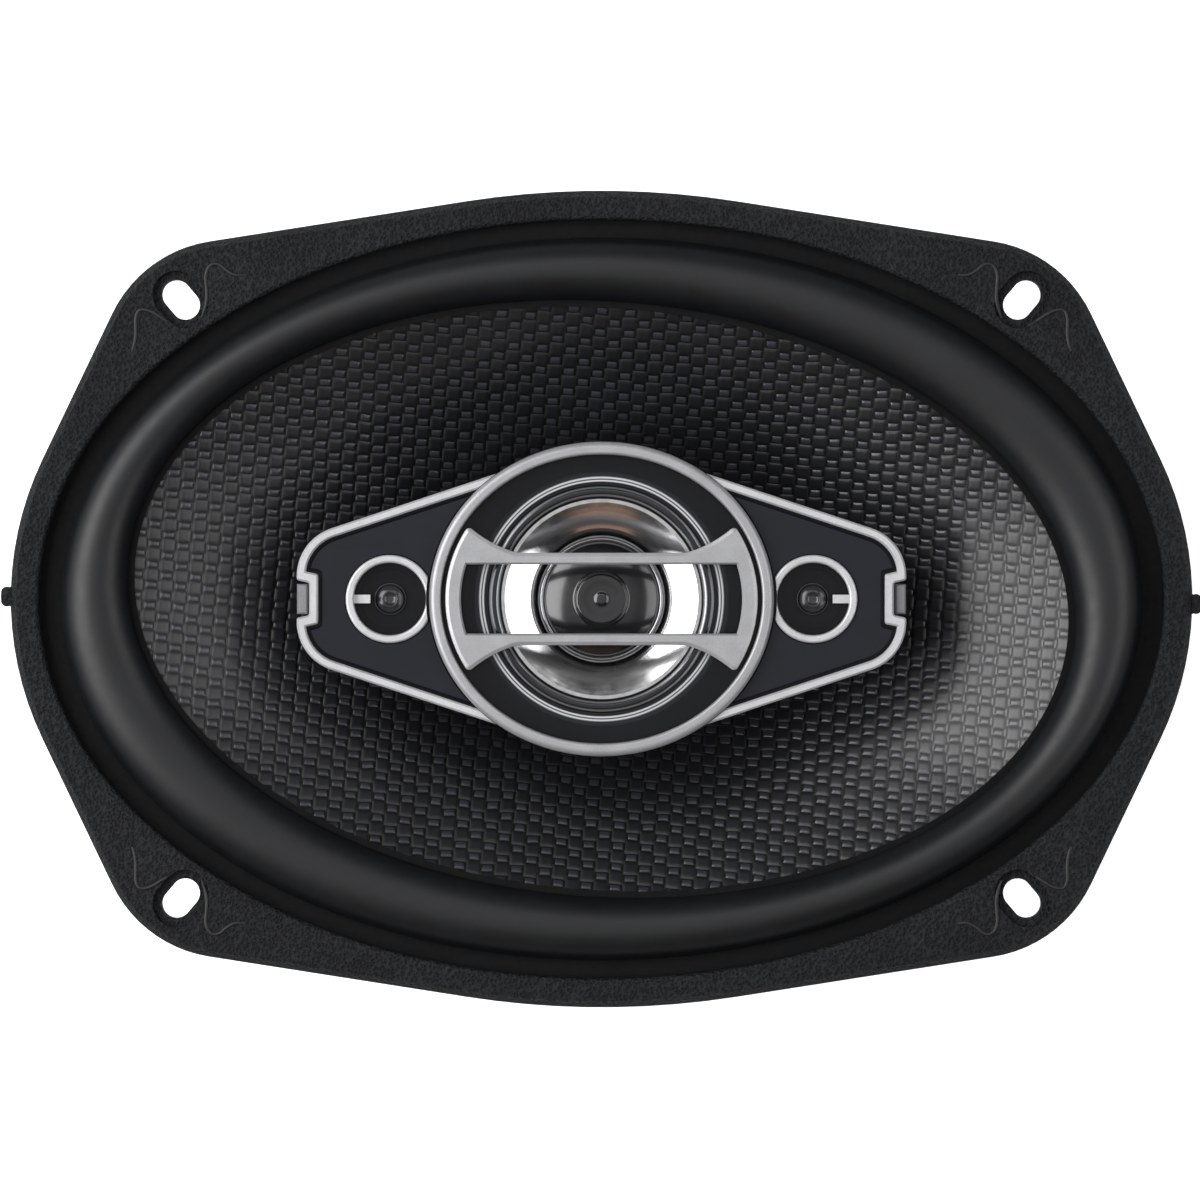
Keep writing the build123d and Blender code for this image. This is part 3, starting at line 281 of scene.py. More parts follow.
def weave():
    """Coated cloth: long warp pads crossed by short weft floats, each in its own dip."""
    look = Look("cone_weave", (0.0062, 0.0070, 0.0086), 0.38, Coat_Weight=0.35,
                Coat_Roughness=0.24)
    x, y, _ = look.axes(CONE_TURN)
    wobble = look.math("SUBTRACT", look.noise(7, 2), 0.5)
    across = look.math("DIVIDE", look.math("MULTIPLY_ADD", wobble, 0.7, x), COLUMN)
    along = look.math("DIVIDE", look.math("MULTIPLY_ADD", wobble, 0.9, y), PICK)
    column = look.math("FLOOR", across)
    from_edge = look.math("PINGPONG", across, 0.5)
    staggered = look.math("ADD", along, column)
    from_float = look.math("PINGPONG", staggered, 1.0)
    on_float = look.step(from_float, 0.29, 0.37, 1.0, 0.0)
    half_width = look.math("MULTIPLY_ADD", on_float, -0.11, 0.49)
    from_middle = look.math("SUBTRACT", 0.5, from_edge)
    side = look.math("POWER", look.math("DIVIDE", from_middle, half_width), 5.0)
    float_arch = look.math("SUBTRACT", 1.0, look.math(
        "POWER", look.math("DIVIDE", from_float, 0.34), 2.2))
    to_pad = look.math("DIVIDE", look.math("SUBTRACT", 1.0, from_float), 0.66)
    pad_arch = look.math("SUBTRACT", 1.0, look.math("POWER", to_pad, 3.6))
    arch = look.math("MAXIMUM", float_arch, pad_arch)
    sides = look.math("MAXIMUM", look.math("SUBTRACT", 1.0, side), 0.0)
    height = look.math("MULTIPLY", arch, sides)
    threads = look.math("ADD", look.math("PINGPONG", x, 0.15), look.math("PINGPONG", y, 0.17))
    cell = look.put("ShaderNodeCombineXYZ", X=column, Y=look.math(
        "FLOOR", look.math("MULTIPLY", look.math("ADD", staggered, 0.5), 0.5))).outputs[0]
    own_tone = look.put("ShaderNodeTexWhiteNoise", {"noise_dimensions": "3D"},
                        Vector=cell).outputs[0]
    tone = look.shade(look.noise(23, 3), 0.85, 1.2)
    cell_tone_level = look.math("MULTIPLY_ADD", own_tone, 0.3, 0.66)
    # Painted highlight: the weft floats are given a lighter colour in place of the glints they
    # catch.
    tone_and_painted_light = look.math("MULTIPLY_ADD", on_float, 1.9, cell_tone_level)
    rim = look.math("ADD", look.math("POWER", look.math("DIVIDE", x, CONE_RIM[0]), 2.0),
                    look.math("POWER", look.math("DIVIDE", y, CONE_RIM[1]), 2.0))
    # Painted shade: the colour darkens at the rim, where the cone meets the roll.
    tone_and_painted_light = look.math("MULTIPLY", tone_and_painted_light, look.step(rim, 0.970, 0.985, 1.0, 0.1))
    # Painted shade: the colour darkens in the dips round the pads and floats, as the bump casts
    # no shadow.
    look.dim(tone, look.math("MULTIPLY", tone_and_painted_light, look.step(height, 0.05, 0.75, 0.15, 1.15)))
    look.roughen(look.math("SUBTRACT", look.step(height, 0.0, 0.6, 1.0, 0.35), on_float),
                 0.30, 0.62)
    grain = look.bump(look.noise(0.5, 2), 0.12, 0.06, below=look.bump(threads, 0.22, 0.12))
    look.bump(height, 0.75, 0.34, below=grain)
    return look.made


def spider_cloth():
    """Resin-stiffened cotton in a plain weave."""
    look = Look("spider_cloth", (0.43, 0.27, 0.095), 0.78, Sheen_Weight=0.2)
    x, y, _ = look.axes()
    warp = look.math("PINGPONG", x, 0.3)
    weft = look.math("PINGPONG", y, 0.3)
    threads = look.math("ADD", warp, weft)
    tone = look.shade(look.noise(15, 3), 0.75, 1.2)
    look.dim(tone, look.step(threads, 0.05, 0.5, 0.72, 1.1))
    look.bump(threads, 0.6, 0.4, below=look.bump(look.noise(0.3, 2), 0.2, 0.1))
    return look.made


def silver_paint(name, color):
    """Fine aluminium paint on a moulded part, satin with a soft grain."""
    look = Look(name, color, 0.40, 0.5)
    fine = look.noise(0.32, 3)
    tone = look.shade(look.noise(4.5, 3), 0.93, 1.06)
    look.dim(tone, look.step(fine, 0.25, 0.75, 0.93, 1.05))
    look.roughen(look.noise(0.6, 3), 0.38, 0.50)
    look.bump(fine, 0.18, 0.06)
    return look.made


def wing_plate():
    """Blue-black satin plate with faint brushing along the speaker."""
    look = Look("wing_plate", (0.0056, 0.0070, 0.0115), 0.32, 0.2, Specular_IOR_Level=0.36)
    brushed = look.noise(0.5, 3, stretch=(0.06, 1, 1))
    look.shade(look.noise(8, 2), 0.9, 1.12)
    look.roughen(brushed, 0.28, 0.44)
    look.bump(brushed, 0.10, 0.04)
    return look.made


def ferrite():
    """Sintered ferrite: grey-black, with pressed grain and a few chipped spots."""
    look = Look("ferrite", (0.030, 0.030, 0.033), 0.6)
    chips = look.step(look.noise(3.5, 5), 0.62, 0.72)
    tone = look.shade(look.noise(7, 4), 0.7, 1.3)
    look.dim(tone, look.math("MULTIPLY_ADD", chips, 0.9, 1.0))
    look.roughen(look.noise(1.1, 3), 0.5, 0.75)
    look.bump(look.noise(0.5, 4), 0.35, 0.12)
    return look.made


def boot_rubber():
    """Moulded rubber boot with matt grain and light scuffs."""
    look = Look("boot_rubber", (0.0165, 0.0165, 0.0172), 0.62)
    scuffs = look.step(look.noise(2.2, 5, stretch=(1, 0.12, 0.35)), 0.62, 0.75)
    tone = look.shade(look.noise(13, 3), 0.85, 1.2)
    look.dim(tone, look.math("MULTIPLY_ADD", scuffs, 0.8, 1.0))
    look.roughen(look.noise(0.9, 3), 0.52, 0.72)
    look.bump(look.noise(0.35, 3), 0.25, 0.08)
    return look.made


def black_steel():
    """Pressed steel under black powder coat, with orange peel and paler worn spots."""
    look = Look("black_steel", (0.0185, 0.0185, 0.020), 0.42)
    worn = look.step(look.noise(1.8, 6), 0.66, 0.78)
    tone = look.shade(look.noise(19, 3), 0.85, 1.2)
    look.dim(tone, look.math("MULTIPLY_ADD", worn, 0.7, 1.0))
    look.roughen(look.noise(1.4, 3), 0.34, 0.5)
    look.bump(look.noise(0.8, 2), 0.22, 0.10)
    return look.made


def zinc_steel():
    """Bright zinc plate with a faint spangle and turned marks."""
    look = Look("zinc_steel", (0.55, 0.56, 0.54), 0.32, 1.0)
    rings = look.math("PINGPONG", look.reach(), 0.35)
    look.shade(look.noise(5, 4), 0.8, 1.12)
    look.roughen(look.noise(0.9, 3), 0.22, 0.42)
    look.bump(rings, 0.10, 0.10)
    return look.made


def copper():
    """Enamelled wire, wound turn on turn along the axis."""
    look = Look("copper", (0.62, 0.20, 0.07), 0.28, 1.0, Coat_Weight=0.6, Coat_Roughness=0.1)
    turns = look.math("PINGPONG", look.axes()[2], 0.16)
    look.shade(look.noise(3, 2), 0.8, 1.15)
    look.roughen(look.noise(0.8, 2), 0.22, 0.36)
    look.bump(turns, 0.8, 0.3)
    return look.made


def metallised():
    """Bright film of the midrange cone, its throat darkened as painted shade, with spun rings and
    dents.
    """
    look = Look("metallised", (0.72, 0.72, 0.725), 0.19, 1.0)
    reach = look.reach()
    # Painted shade: the film's colour darkens inward of 14.4 mm, down into the throat.
    look.tint(look.step(reach, 13.2, 14.4), (0.30, 0.302, 0.31), look.color)
    look.roughen(look.noise(1.5, 3), 0.13, 0.25)
    rings = look.math("PINGPONG", reach, 0.45)
    look.bump(look.noise(4.5, 2), 0.30, 0.16, below=look.bump(rings, 0.04, 0.10))
    return look.made


def gloss_cap():
    """Smoky gloss cap over the midrange coil, brighter at its rolled edge."""
    look = Look("gloss_cap", (0.004, 0.0044, 0.0056), 0.20, Coat_Weight=0.35, Coat_Roughness=0.10)
    edge = look.step(look.reach(), 11.0, 11.6)
    look.feed(look.shader.inputs["Metallic"], edge)
    look.tint(edge, look.color, (0.26, 0.26, 0.27))
    look.roughen(look.noise(1.2, 3), 0.16, 0.26)
    look.bump(look.noise(2.5, 2), 0.05, 0.06)
    return look.made


def gloss_ring_painted_highlights(name, color, highlight_color, lines, rough):
    """A dark gloss ring of the midrange, with soft painted highlight lines at these reaches,
    where it is also rougher.
    """
    look = Look(name, color, rough, 0.9)
    reach = look.reach()
    painted_highlight = 0.0
    for line in lines:
        near = look.math("ABSOLUTE", look.math("SUBTRACT", reach, line))
        painted_highlight = look.math("ADD", painted_highlight, look.step(near, 0.05, 0.34, 1.0, 0.0))
    # Painted highlight: the colour is lightened along the given reaches.
    look.tint(painted_highlight, look.color, highlight_color)
    look.roughen(painted_highlight, rough, 0.40)
    look.bump(look.noise(0.8, 2), 0.08, 0.05)
    return look.made


def felt():
    """Black gauze over the voice coil's opening."""
    look = Look("felt", (0.016, 0.016, 0.0165), 0.92, Sheen_Weight=0.3)
    x, y, _ = look.axes()
    threads = look.math("ADD", look.math("PINGPONG", x, 0.35), look.math("PINGPONG", y, 0.35))
    look.shade(look.noise(4, 3), 0.8, 1.3)
    look.bump(threads, 0.6, 0.4)
    return look.made


def phenolic():
    """Brown paper laminate, with its faint fibre."""
    look = Look("phenolic", (0.17, 0.075, 0.028), 0.46)
    fibre = look.noise(0.9, 4, stretch=(0.15, 1, 1))
    look.shade(fibre, 0.78, 1.2)
    look.roughen(fibre, 0.38, 0.56)
    look.bump(fibre, 0.12, 0.06)
    return look.made


def stock(name, color, rough, metal=0.0, grain=1.2, bump=0.08, **sockets):
    """Moulded or plated stock: small changes of tone and gloss over a fine grain."""
    look = Look(name, color, rough, metal, **sockets)
    fine = look.noise(grain * 0.4, 3)
    tone = look.shade(look.noise(grain * 9, 3), 0.86, 1.14)
    look.dim(tone, look.step(fine, 0.2, 0.8, 0.92, 1.08))
    look.roughen(look.noise(grain, 3), rough * 0.84, rough * 1.16)
    look.bump(fine, bump, 0.05)
    return look.made


MATERIALS = {
    "black_steel": black_steel(),
    "gasket": flange_grain(),
    "surround_rubber": roll_rubber(),
    "spider_cloth": spider_cloth(),
    "zinc_steel": zinc_steel(),
    "ferrite": ferrite(),
    "boot_rubber": boot_rubber(),
    "phenolic": phenolic(),
    "tinned_brass": stock("tinned_brass", (0.66, 0.63, 0.55), 0.28, 1.0, bump=0.12),
    "tinsel": stock("tinsel", (0.50, 0.25, 0.12), 0.42, 0.8, grain=0.6, bump=0.3),
    "lead_jacket": stock("lead_jacket", (0.013, 0.013, 0.015), 0.40),
    "pod_plastic": stock("pod_plastic", (0.0026, 0.0032, 0.0048), 0.24, bump=0.06,
                         Specular_IOR_Level=0.26),
    "silver_paint": silver_paint("silver_paint", (0.355, 0.358, 0.372)),
    "wing_plate": wing_plate(),
    "grey_plastic": stock("grey_plastic", (0.20, 0.20, 0.21), 0.42, 0.3, bump=0.12),
    "capacitor_film": stock("capacitor_film", (0.36, 0.17, 0.03), 0.28, Coat_Weight=0.5),
    # The lighter colours and reaches given to the midrange's two rings are painted highlight
    # lines.
    "mid_frame_metal": gloss_ring_painted_highlights("mid_frame_metal", (0.05, 0.052, 0.058),
                                    (0.66, 0.67, 0.69), (23.6, 24.25), 0.18),
    "mid_foam": gloss_ring_painted_highlights("mid_foam", (0.045, 0.047, 0.052), (0.42, 0.42, 0.43),
                             (20.7, 22.3), 0.16),
    "woven_cone": weave(),
    "former": stock("former", (0.60, 0.50, 0.32), 0.34, 0.85),
    "copper": copper(),
    "felt": felt(),
    "metallised": metallised(),
    "gloss_cap": gloss_cap(),
    "dome_film": stock("dome_film", (0.035, 0.036, 0.040), 0.20, 0.4, grain=0.6),
}
BRIGHT_TRIM = silver_paint("bright_trim", (0.53, 0.535, 0.55))
# Painted highlight: the moulded gasket lines get a lighter colour than the gasket.
PAINTED_LINE_HIGHLIGHT = stock("worn_edge", (0.0060, 0.0064, 0.0072), 0.56, bump=0.25)
# Matte black cement; over the roll's outer lip it also stands in as painted shade.
CEMENT_AND_PAINTED_SHADE = stock("cement", (0.003, 0.003, 0.0033), 0.75, bump=0.2, Specular_IOR_Level=0.12)
SLOT_OF = {part["node"]: part["material_slot"] for part in frame["record"]["subparts"]}


# ---------------------------------------------------------------- shape helpers
def finish_mesh(name, points, faces, slot_name, crease=35.0):
    """A mesh object from points in millimetres, shaded smooth, in a slot's material."""
    mesh = bpy.data.meshes.new(name)
    mesh.from_pydata([Vector(point) * MM for point in points], [], faces)
    made = bpy.data.objects.new(name, mesh)
    bpy.context.collection.objects.link(made)
    shaped = bmesh.new()
    shaped.from_mesh(mesh)
    bmesh.ops.recalc_face_normals(shaped, faces=shaped.faces)
    shaped.to_mesh(mesh)
    shaped.free()
    mesh.shade_smooth()
    mesh.set_sharp_from_angle(angle=math.radians(crease))
    mesh.materials.append(MATERIALS[slot_name])
    return made


def wrap(name, outline, slot_name, around, centre=(0.0, 0.0), crease=35.0):
    """A skin round an upright axis; outline(angle) is its closed section, (reach, height)."""
    points, faces = [], []
    for turn in range(around):
        angle = math.tau * turn / around
        for reach, height in outline(angle):
            points.append((centre[0] + reach * math.cos(angle),
                           centre[1] + reach * math.sin(angle), height))
    count = len(points) // around
    for turn in range(around):
        here, there = turn * count, (turn + 1) % around * count
        for corner in range(count):
            after = (corner + 1) % count
            faces.append((here + corner, here + after, there + after, there + corner))
    return finish_mesh(name, points, faces, slot_name, crease)


def run(start, end, steps):
    """Numbers from start to end in equal steps, both ends included."""
    return [start + (end - start) * step / steps for step in range(steps + 1)]


def oval_reach(size, turn, angle):
    """How far an oval reaches from its centre in the given direction."""
    across = angle - turn
    return 1 / math.hypot(math.cos(across) / size[0], math.sin(across) / size[1])


def mix(low, high, share):
    return low + (high - low) * share


def flex(piece, share_at):
    """Bakes a skin's placement into its points; share_at(angle, reach), 0 to 1, is worked out
    there but not used.
    """
    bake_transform(piece)
    for vertex in piece.data.vertices:
        x, y, _ = vertex.co / MM
        share = min(1.0, max(0.0, share_at(math.atan2(y, x), math.hypot(x, y))))


# ---------------------------------------------------------------- moving skins
def surround():
    """The half roll: a thin rubber arch between the flange and the rim of the cone."""
    arch = run(0.0, math.pi, 32)

    def outline(angle):
        outer = oval_reach(ROLL_OUTER, 0, angle)
        inner = oval_reach(ROLL_INNER, CONE_TURN, angle)
        middle, half = (outer + inner) / 2, (outer - inner) / 2
        rise = ROLL_TOP - RIM_Z
        section = [(oval_reach(LIP_OUTER, 0, angle), SHEET),
                   (oval_reach(LIP_OUTER, 0, angle), RIM_Z)]
        section += [(middle + half * math.cos(lean), RIM_Z + rise * math.sin(lean))
                    for lean in arch]
        section += [(oval_reach(LIP_INNER, CONE_TURN, angle), RIM_Z),
                    (oval_reach(LIP_INNER, CONE_TURN, angle), SHEET)]
        section += [(middle + (half - ROLL_SKIN) * math.cos(lean), SHEET + rise * math.sin(lean))
                    for lean in reversed(arch)]
        return section

    def share_at(angle, reach):
        outer = oval_reach(ROLL_OUTER, 0, angle)
        inner = oval_reach(ROLL_INNER, CONE_TURN, angle)
        return (outer - reach) / (outer - inner)

    piece = wrap("surround_roll", outline, "surround_rubber", 300)
    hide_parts("surround")
    flex(piece, share_at)


def cone_top(share):
    """Height of the cone's front at a share of the way from its neck to its rim."""
    return NECK_Z + (RIM_Z - NECK_Z) * share**CONE_BULGE + CONE_SKIN


def cone_reach(share, angle):
    """Reach of the cone at a share of the way from its neck to its rim."""
    size = tuple(mix(NECK_RADIUS, rim, share) for rim in CONE_RIM)
    return oval_reach(size, CONE_TURN, angle)


def woofer_cone():
    """The oval cone, from the round neck to the rim, with its turned-down edge."""
    def outline(angle):
        rim = cone_reach(1.0, angle)
        section = [(FORMER_OUTER, NECK_Z), (FORMER_OUTER, NECK_Z + CONE_SKIN)]
        section += [(cone_reach(share, angle), cone_top(share)) for share in run(0.0, 0.997, 70)]
        section += [(rim, cone_top(1.0) - 0.2), (rim, SHEET), (rim - 1.0, SHEET)]
        section += [(cone_reach(share, angle), cone_top(share) - CONE_SKIN)
                    for share in run(0.985, 0.0, 40)]
        return section

    piece = wrap("cone_cloth", outline, "woven_cone", 300)
    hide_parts("woofer_cone")
    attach(piece, "cone")


def spider():
    """The corrugated disc that centres the coil, flat where it is glued."""
    flat_in, flat_out = FORMER_OUTER + SPIDER_FLATS[0], SPIDER_OUTER - SPIDER_FLATS[1]

    def outline(_):
        waved = []
        for share in run(0.0, 1.0, SPIDER_WAVES * 14):
            swing = math.sin(math.tau * SPIDER_WAVES * share)
            waved.append((mix(flat_in, flat_out, share), SPIDER_Z - SPIDER_WAVE * swing))
        lower = [(FORMER_OUTER, SPIDER_Z), *waved, (SPIDER_OUTER, SPIDER_Z)]
        return lower + [(reach, height + SPIDER_SKIN) for reach, height in reversed(lower)]

    piece = wrap("spider_disc", outline, "spider_cloth", 200)
    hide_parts("spider")
    flex(piece, lambda _, reach: (flat_out - reach) / (flat_out - flat_in))


def mid_surround():
    """The small half roll round the midrange cone."""
    base, arch = MID_RIM_TOP - MID_ROLL_DROP, run(0.0, math.pi, 20)
    foot = base + MID_ROLL_FOOT
    middle, half = (MID_ROLL[0] + MID_ROLL[1]) / 2, (MID_ROLL[1] - MID_ROLL[0]) / 2
    inner, rise = half - MID_ROLL_SKIN, half + MID_ROLL_FOOT - MID_ROLL_SKIN - 0.1

    def outline(_):
        upper = [(middle + half * math.cos(lean), foot + half * math.sin(lean))
                 for lean in arch]
        lower = [(middle + inner * math.cos(lean), base + rise * math.sin(lean))
                 for lean in reversed(arch)]
        return [(MID_FLAT[1], base), (MID_FLAT[1], foot), *upper,
                (MID_FLAT[0], foot), (MID_FLAT[0], base), *lower]

    piece = wrap("mid_roll", outline, "mid_foam", 200)
    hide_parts("mid_surround")
    flex(piece, lambda _, reach: (MID_ROLL[1] - reach) / (MID_ROLL[1] - MID_ROLL[0]))


def mid_cone():
    """The bright midrange cone: a shallow band that drops steeply to the cap."""
    edge = MID_RIM_TOP - MID_CONE_EDGE

    def outline(_):
        band = [(mix(*MID_BAND, share),
                 mix(MID_RIM_TOP, MID_BAND_FOOT, share) + MID_BAND_CROWN * share * (1 - share))
                for share in run(0.0, 1.0, 16)]
        return [(MID_CONE_RIM, edge), (MID_CONE_RIM, MID_RIM_TOP), *band, *MID_THROAT,
                (MID_FLAT[0], edge)]

    piece = wrap("mid_cone_film", outline, "metallised", 200, crease=14.0)
    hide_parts("mid_cone")
    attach(piece, "mid")


def dome_run(reach_from, reach_to, foot, top, radius, steps):
    """Part of a round dome of that radius from the edge, foot high, to its top."""
    def height(reach):
        return mix(foot, top, math.sqrt(max(0.0, 1 - (reach / radius)**2)))
    return [(reach, height(reach)) for reach in run(reach_from, reach_to, steps)]


def mid_cap():
    """The gloss cap: a rolled edge, a low dome and a raised disc with a dished middle."""
    low, high = (corner.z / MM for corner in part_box("mid_dust_cap"))
    foot, shoulder = low + 0.35, high - 0.55
    middle, half = CAP_RIM

    def outline(_):
        edge = [(middle + half * math.cos(lean), foot + 0.5 * math.sin(lean))
                for lean in run(0.0, math.pi, 10)]
        dome = dome_run(*CAP_DOME, foot - 2.2, shoulder, CAP_ROUND, 18)
        disc = [(reach, shoulder + rise) for reach, rise in CAP_DISC]
        return [(12.4, low), *edge, *dome, *disc, (0.02, low + 1.0), (11.2, low)]

    piece = wrap("mid_cap_film", outline, "gloss_cap", 160, crease=50.0)
    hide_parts("mid_dust_cap")
    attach(piece, "mid")


def tweeter_domes():
    """The two small domes, each with a rolled edge and a dished middle."""
    for side in ("left", "right"):
        low, high = (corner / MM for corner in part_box("tweeter_dome_" + side))
        radius, foot, top = (high.x - low.x) / 2, low.z + 0.3, high.z

        def outline(_):
            edge = [(radius - 0.25 + 0.25 * math.cos(lean), foot + 0.22 * math.sin(lean))
                    for lean in run(0.0, math.pi, 6)]
            dome = dome_run(radius - 0.55, 1.45, foot - 0.2, top, radius, 12)
            dish = [(reach, top + rise) for reach, rise in TWEETER_DISH]
            return [(radius, low.z), *edge, *dome, *dish, (0.02, low.z)]

        middle = ((low.x + high.x) / 2, (low.y + high.y) / 2)
        piece = wrap("tweeter_film_" + side, outline, "dome_film", 72, middle, crease=50.0)
        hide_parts("tweeter_dome_" + side)
        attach(piece, "dome_" + side)


def cement_ring(name, inner, outer, low, high, body):
    """Set black cement between two ovals, over the roll's lip also a sheet of painted shade;
    inner and outer give their reach by angle.
    """
    def outline(angle):
        return [(inner(angle), low), (inner(angle), high), (outer(angle), high),
                (outer(angle), low)]

    piece = wrap(name, outline, "surround_rubber", 240)
    piece.data.materials[0] = CEMENT_AND_PAINTED_SHADE
    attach(piece, body)


def cements():
    """Black cement over the outer lip of the roll, laid also as painted shade where the lip lies
    in shadow, and the bead where it meets the cone.
    """
    cement_ring("lip_cement", lambda angle: oval_reach(ROLL_OUTER, 0, angle) - 0.05,
                lambda angle: oval_reach(GASKET_OPENING, 0, angle) - 0.05,
                RIM_Z - 0.3, RIM_Z + 0.1, "frame")
    cement_ring("rim_cement", lambda angle: cone_reach(1.0, angle) - 0.7,
                lambda angle: oval_reach(ROLL_INNER, CONE_TURN, angle) + 0.35,
                RIM_Z - 0.3, cone_top(1.0) + 0.1, "cone")


def traced_path(name, route):
    """Points along a smooth curve whose control points are the route's."""
    line = bpy.data.curves.new(name + "_line", "CURVE")
    line.dimensions = "3D"
    spline = line.splines.new("NURBS")
    spline.points.add(len(route) - 1)
    for point, place in zip(spline.points, route):
        point.co = (*place, 1)
    spline.order_u = 3
    spline.use_endpoint_u = True
    spline.resolution_u = 24
    guide = bpy.data.objects.new(name + "_line", line)
    bpy.context.collection.objects.link(guide)
    bpy.context.view_layer.update()
    traced = bpy.data.meshes.new_from_object(guide)
    path = [vertex.co.copy() for vertex in traced.vertices]
    bpy.data.objects.remove(guide)
    return path


def braid(name, x, route, slot_name, strands=5, radius=0.5, pitch=6.4, wire=0.3, sides=6):
    """A rope of fine strands wound round a smooth route of (y, z), in millimetres."""
    path = traced_path(name, [(x, y, z) for y, z in route])
    points, faces = [], []
    for strand in range(strands):
        first, travelled = len(points), 0.0
        normal = Vector((1, 0, 0))
        for place, centre in enumerate(path):
            ahead = path[min(place + 1, len(path) - 1)] - path[max(place - 1, 0)]
            ahead.normalize()
            normal = (normal - ahead * normal.dot(ahead)).normalized()
            sideways = ahead.cross(normal)
            if place:
                travelled += (centre - path[place - 1]).length
            turn = math.tau * (strand / strands + travelled / pitch)
            out = normal * math.cos(turn) + sideways * math.sin(turn)
            for corner in range(sides):
                lean = math.tau * corner / sides
                ring = normal * math.cos(lean) + sideways * math.sin(lean)
                points.append(centre + out * radius + ring * wire)
        for place in range(len(path) - 1):
            here = first + place * sides
            for corner in range(sides):
                after = (corner + 1) % sides
                faces.append((here + corner, here + after, here + sides + after,
                              here + sides + corner))
        last = first + (len(path) - 1) * sides
        faces.append(tuple(range(first, first + sides)))
        faces.append(tuple(range(last, last + sides)))
    return finish_mesh(name, points, faces, slot_name, crease=60)


def tinsel_leads():
    """The two braided leads that hang from the terminal board to the back of the cone."""
    route = [(-61, -34.4), (-61, -30.0), (-60.2, -27.2), (-56, -26.8), (-50, -26.8),
             (-43, -27.2), (-35, -28.2), (-28.6, -28.8), (-26.2, -27.4), (-26, -23.8),
             (-26, -18.9)]
    for side, name in ((1, "positive"), (-1, "negative")):
        piece = braid("tinsel_braid_" + name, side * TINSEL_X, route, "tinsel")
        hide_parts("tinsel_lead_" + name)
        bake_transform(piece)


# ---------------------------------------------------------------- small fixed details
def moulded_line(name, side_x, side_y, corners, radius=0.42, proud=0.24):
    """A thin raised line on the gasket beside one mounting slot."""
    line = bpy.data.curves.new(name, "CURVE")
    line.dimensions = "3D"
    spline = line.splines.new("NURBS")
    spline.points.add(len(corners) - 1)
    height = GASKET_TOP + proud - radius
    for place, (point, (x, y)) in enumerate(zip(spline.points, corners)):
        at_end = place in (0, len(corners) - 1)
        point.co = (side_x * (SLOT[0] + x) * MM, side_y * (SLOT[1] + y) * MM,
                    (height - proud * at_end) * MM, 1)
        point.radius = 0.4 if at_end else 1.0
    spline.order_u = 3
    spline.use_endpoint_u = True
    spline.resolution_u = 6
    line.bevel_depth = radius * MM
    line.bevel_resolution = 3
    line.use_fill_caps = True
    guide = bpy.data.objects.new(name + "_line", line)
    bpy.context.collection.objects.link(guide)
    bpy.context.view_layer.update()
    traced = bpy.data.meshes.new_from_object(guide.evaluated_get(
        bpy.context.evaluated_depsgraph_get()))
    points = [vertex.co / MM for vertex in traced.vertices]
    faces = [tuple(face.vertices) for face in traced.polygons]
    bpy.data.objects.remove(guide)
    piece = finish_mesh(name, points, faces, "gasket", crease=60)
    # The line is given a lighter colour as painted highlight.
    piece.data.materials[0] = PAINTED_LINE_HIGHLIGHT
    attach(piece, "frame")


def gasket_lines():
    """The S-shaped moulded lines on both sides of every slot."""
    for side_x, side in ((-1, "left"), (1, "right")):
        for side_y, level in ((-1, "lower"), (1, "upper")):
            for corners, kind in ((INNER_LINE, "inner"), (OUTER_LINE, "outer")):
                moulded_line(f"gasket_line_{kind}_{level}_{side}", side_x, side_y, corners)


def glue_bead(name, radius, height, thickness, body, slot_name):
    """An uneven bead of set adhesive round a joint."""
    def outline(angle):
        place = Vector((math.cos(angle), math.sin(angle), 0)) * 3
        swell = thickness * (1 + 0.22 * noise.noise(place + Vector((0, 0, radius))))
        return [(radius + swell * math.cos(lean), height + 0.75 * swell * math.sin(lean))
                for lean in run(0, math.tau * 11 / 12, 11)]

    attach(wrap(name, outline, slot_name, 160), body)


def dress_nodes():
    """Every CAD node in its slot's material, and the pod's fine trims in a brighter paint."""
    for node_name, node in nodes.items():
        node.data.materials.clear()
        node.data.materials.append(MATERIALS[SLOT_OF[node_name]])
    for side in ("left", "right"):
        for node_name in ("wing_trim_", "tweeter_ring_"):
            nodes[node_name + side].data.materials[0] = BRIGHT_TRIM


def soften(node_name, width):
    """Rounds the edges of a CAD node a little, so that they catch the light."""
    edge = nodes[node_name].modifiers.new("edges", "BEVEL")
    edge.width = width * MM
    edge.segments = 3
    edge.limit_method = "ANGLE"
    edge.angle_limit = math.radians(40)
    edge.harden_normals = True


dress_nodes()
soften("mid_frame", 0.18)
soften("basket", 0.30)
soften("magnet_ring", 0.6)
surround()
woofer_cone()
spider()
mid_surround()
mid_cone()
mid_cap()
tweeter_domes()
cements()
tinsel_leads()
gasket_lines()
glue_bead("spider_glue", FORMER_OUTER + 0.5, SPIDER_Z + 0.9, 0.8, "cone", "felt")


# ---------------------------------------------------------------- stage, lights and camera
def floor():
    """A plain white floor just under the magnet, with a little light of its own."""
    bpy.ops.mesh.primitive_plane_add(size=FLOOR_SIZE, location=(0, 0, FLOOR_Z - FLOOR_DROP))
    plane = bpy.context.object
    plane.name = "floor"
    look = Look("floor_paper", (0.9, 0.9, 0.9), 0.9, Specular_IOR_Level=0.1,
                Emission_Color=(1, 1, 1, 1), Emission_Strength=0.62)
    plane.data.materials.append(look.made)


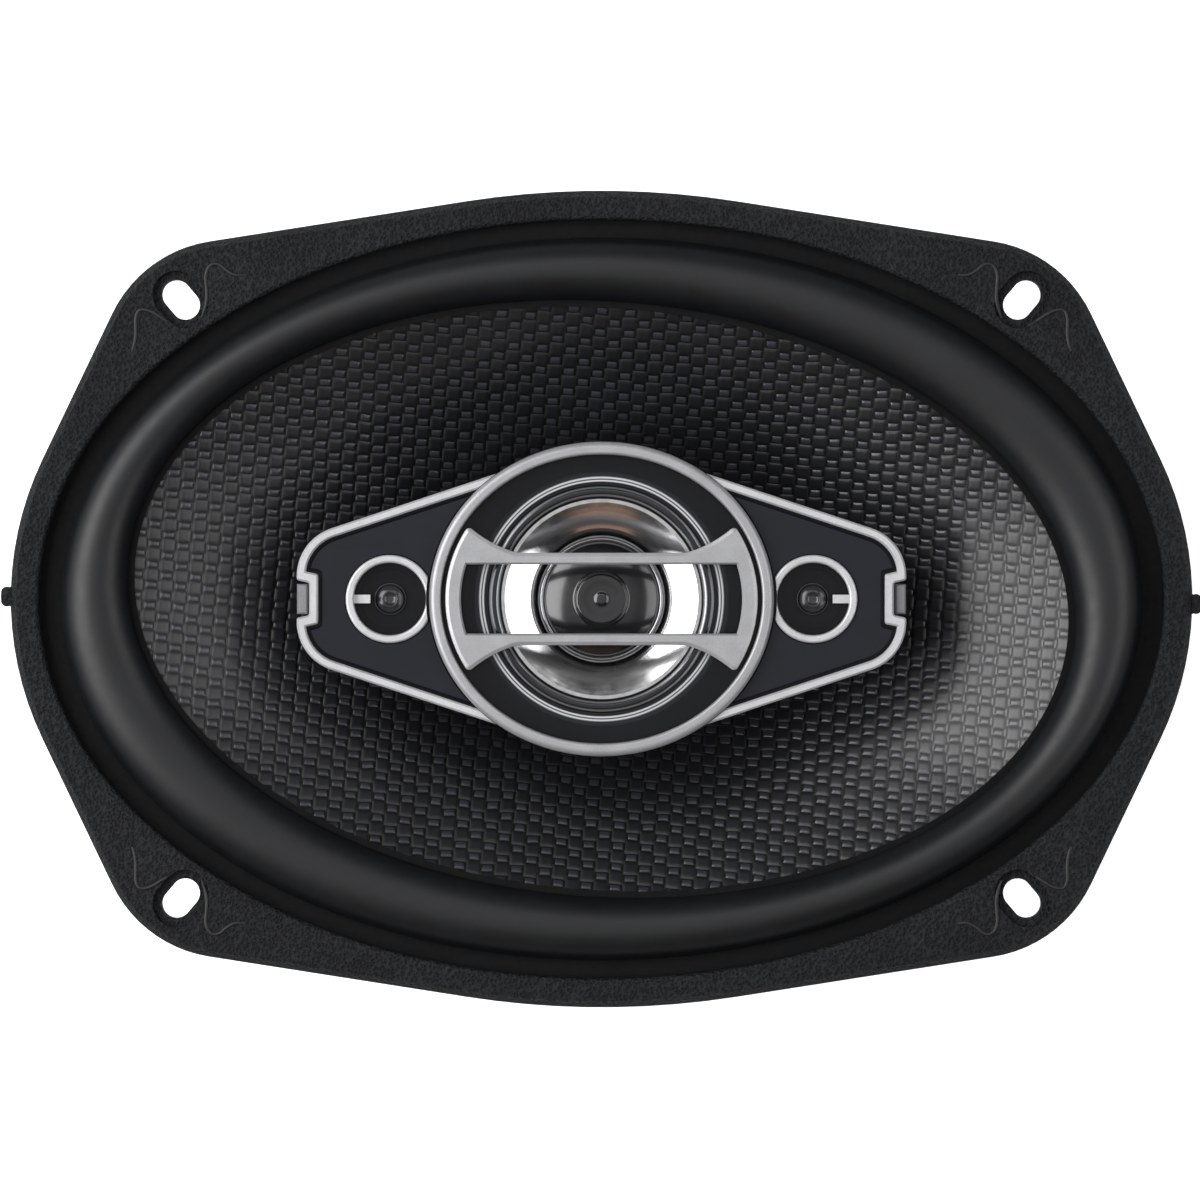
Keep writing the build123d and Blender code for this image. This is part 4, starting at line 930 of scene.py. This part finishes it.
def softbox(name, lean, heading, size, power, color=(1, 1, 1)):
    """A soft light that leans from the sound axis by so many degrees, in a compass heading."""
    light = bpy.data.lights.new(name, "AREA")
    light.shape = "RECTANGLE"
    light.size, light.size_y = size
    light.energy = power
    light.color = color
    box = bpy.data.objects.new(name, light)
    bpy.context.collection.objects.link(box)
    lean, heading = math.radians(lean), math.radians(heading)
    out = Vector((math.sin(lean) * math.cos(heading), math.sin(lean) * math.sin(heading),
                  math.cos(lean)))
    box.location = out * LIGHT_DISTANCE
    side = Vector((math.cos(lean) * math.cos(heading), math.cos(lean) * math.sin(heading),
                   -math.sin(lean)))
    box.rotation_mode = "QUATERNION"
    box.rotation_quaternion = Matrix((side, out.cross(side), out)).transposed().to_quaternion()


def surroundings():
    """A dim studio whose ceiling grows paler up to a dark opening straight overhead."""
    world = bpy.data.worlds.new("studio")
    bpy.context.scene.world = world
    world.use_nodes = True
    tree = world.node_tree
    heading = tree.nodes.new("ShaderNodeTexCoord").outputs["Generated"]
    parts = tree.nodes.new("ShaderNodeSeparateXYZ")
    tree.links.new(heading, parts.inputs[0])
    sky = tree.nodes.new("ShaderNodeValToRGB")
    tree.links.new(parts.outputs["Z"], sky.inputs["Fac"])
    greys = ((0.35, 0.035), (0.8, 0.012), (0.998, 0.99), (1.0, 0.008))
    edges = sky.color_ramp.elements
    for place, _ in greys[1:-1]:
        edges.new(place)
    for edge, (place, grey) in zip(edges, greys):
        edge.position = place
        edge.color = (grey, grey, grey, 1)
    tree.links.new(sky.outputs["Color"], tree.nodes["Background"].inputs["Color"])


def camera():
    """A camera that looks straight down the sound axis from well away."""
    lens = bpy.data.cameras.new("camera")
    eye = bpy.data.objects.new("camera", lens)
    bpy.context.collection.objects.link(eye)
    lens.lens = lens.sensor_width * VIEW_DISTANCE / VIEW_WIDTH
    lens.clip_start, lens.clip_end = 0.05, 30
    eye.location = (*VIEW_CENTRE, FLANGE_TOP + VIEW_DISTANCE)
    bpy.context.scene.camera = eye


floor()
surroundings()
softbox("key_left", 47, 170, (0.8, 1.4), 24)
softbox("fill_right", 48, 2, (0.5, 1.3), 7)
softbox("fill_top", 30, 90, (0.25, 1.1), 1.8)
softbox("warm_front", 50, 268, (0.35, 0.8), 0.34, color=(1.0, 0.6, 0.42))
camera()
bpy.context.scene.view_settings.view_transform = "Standard"
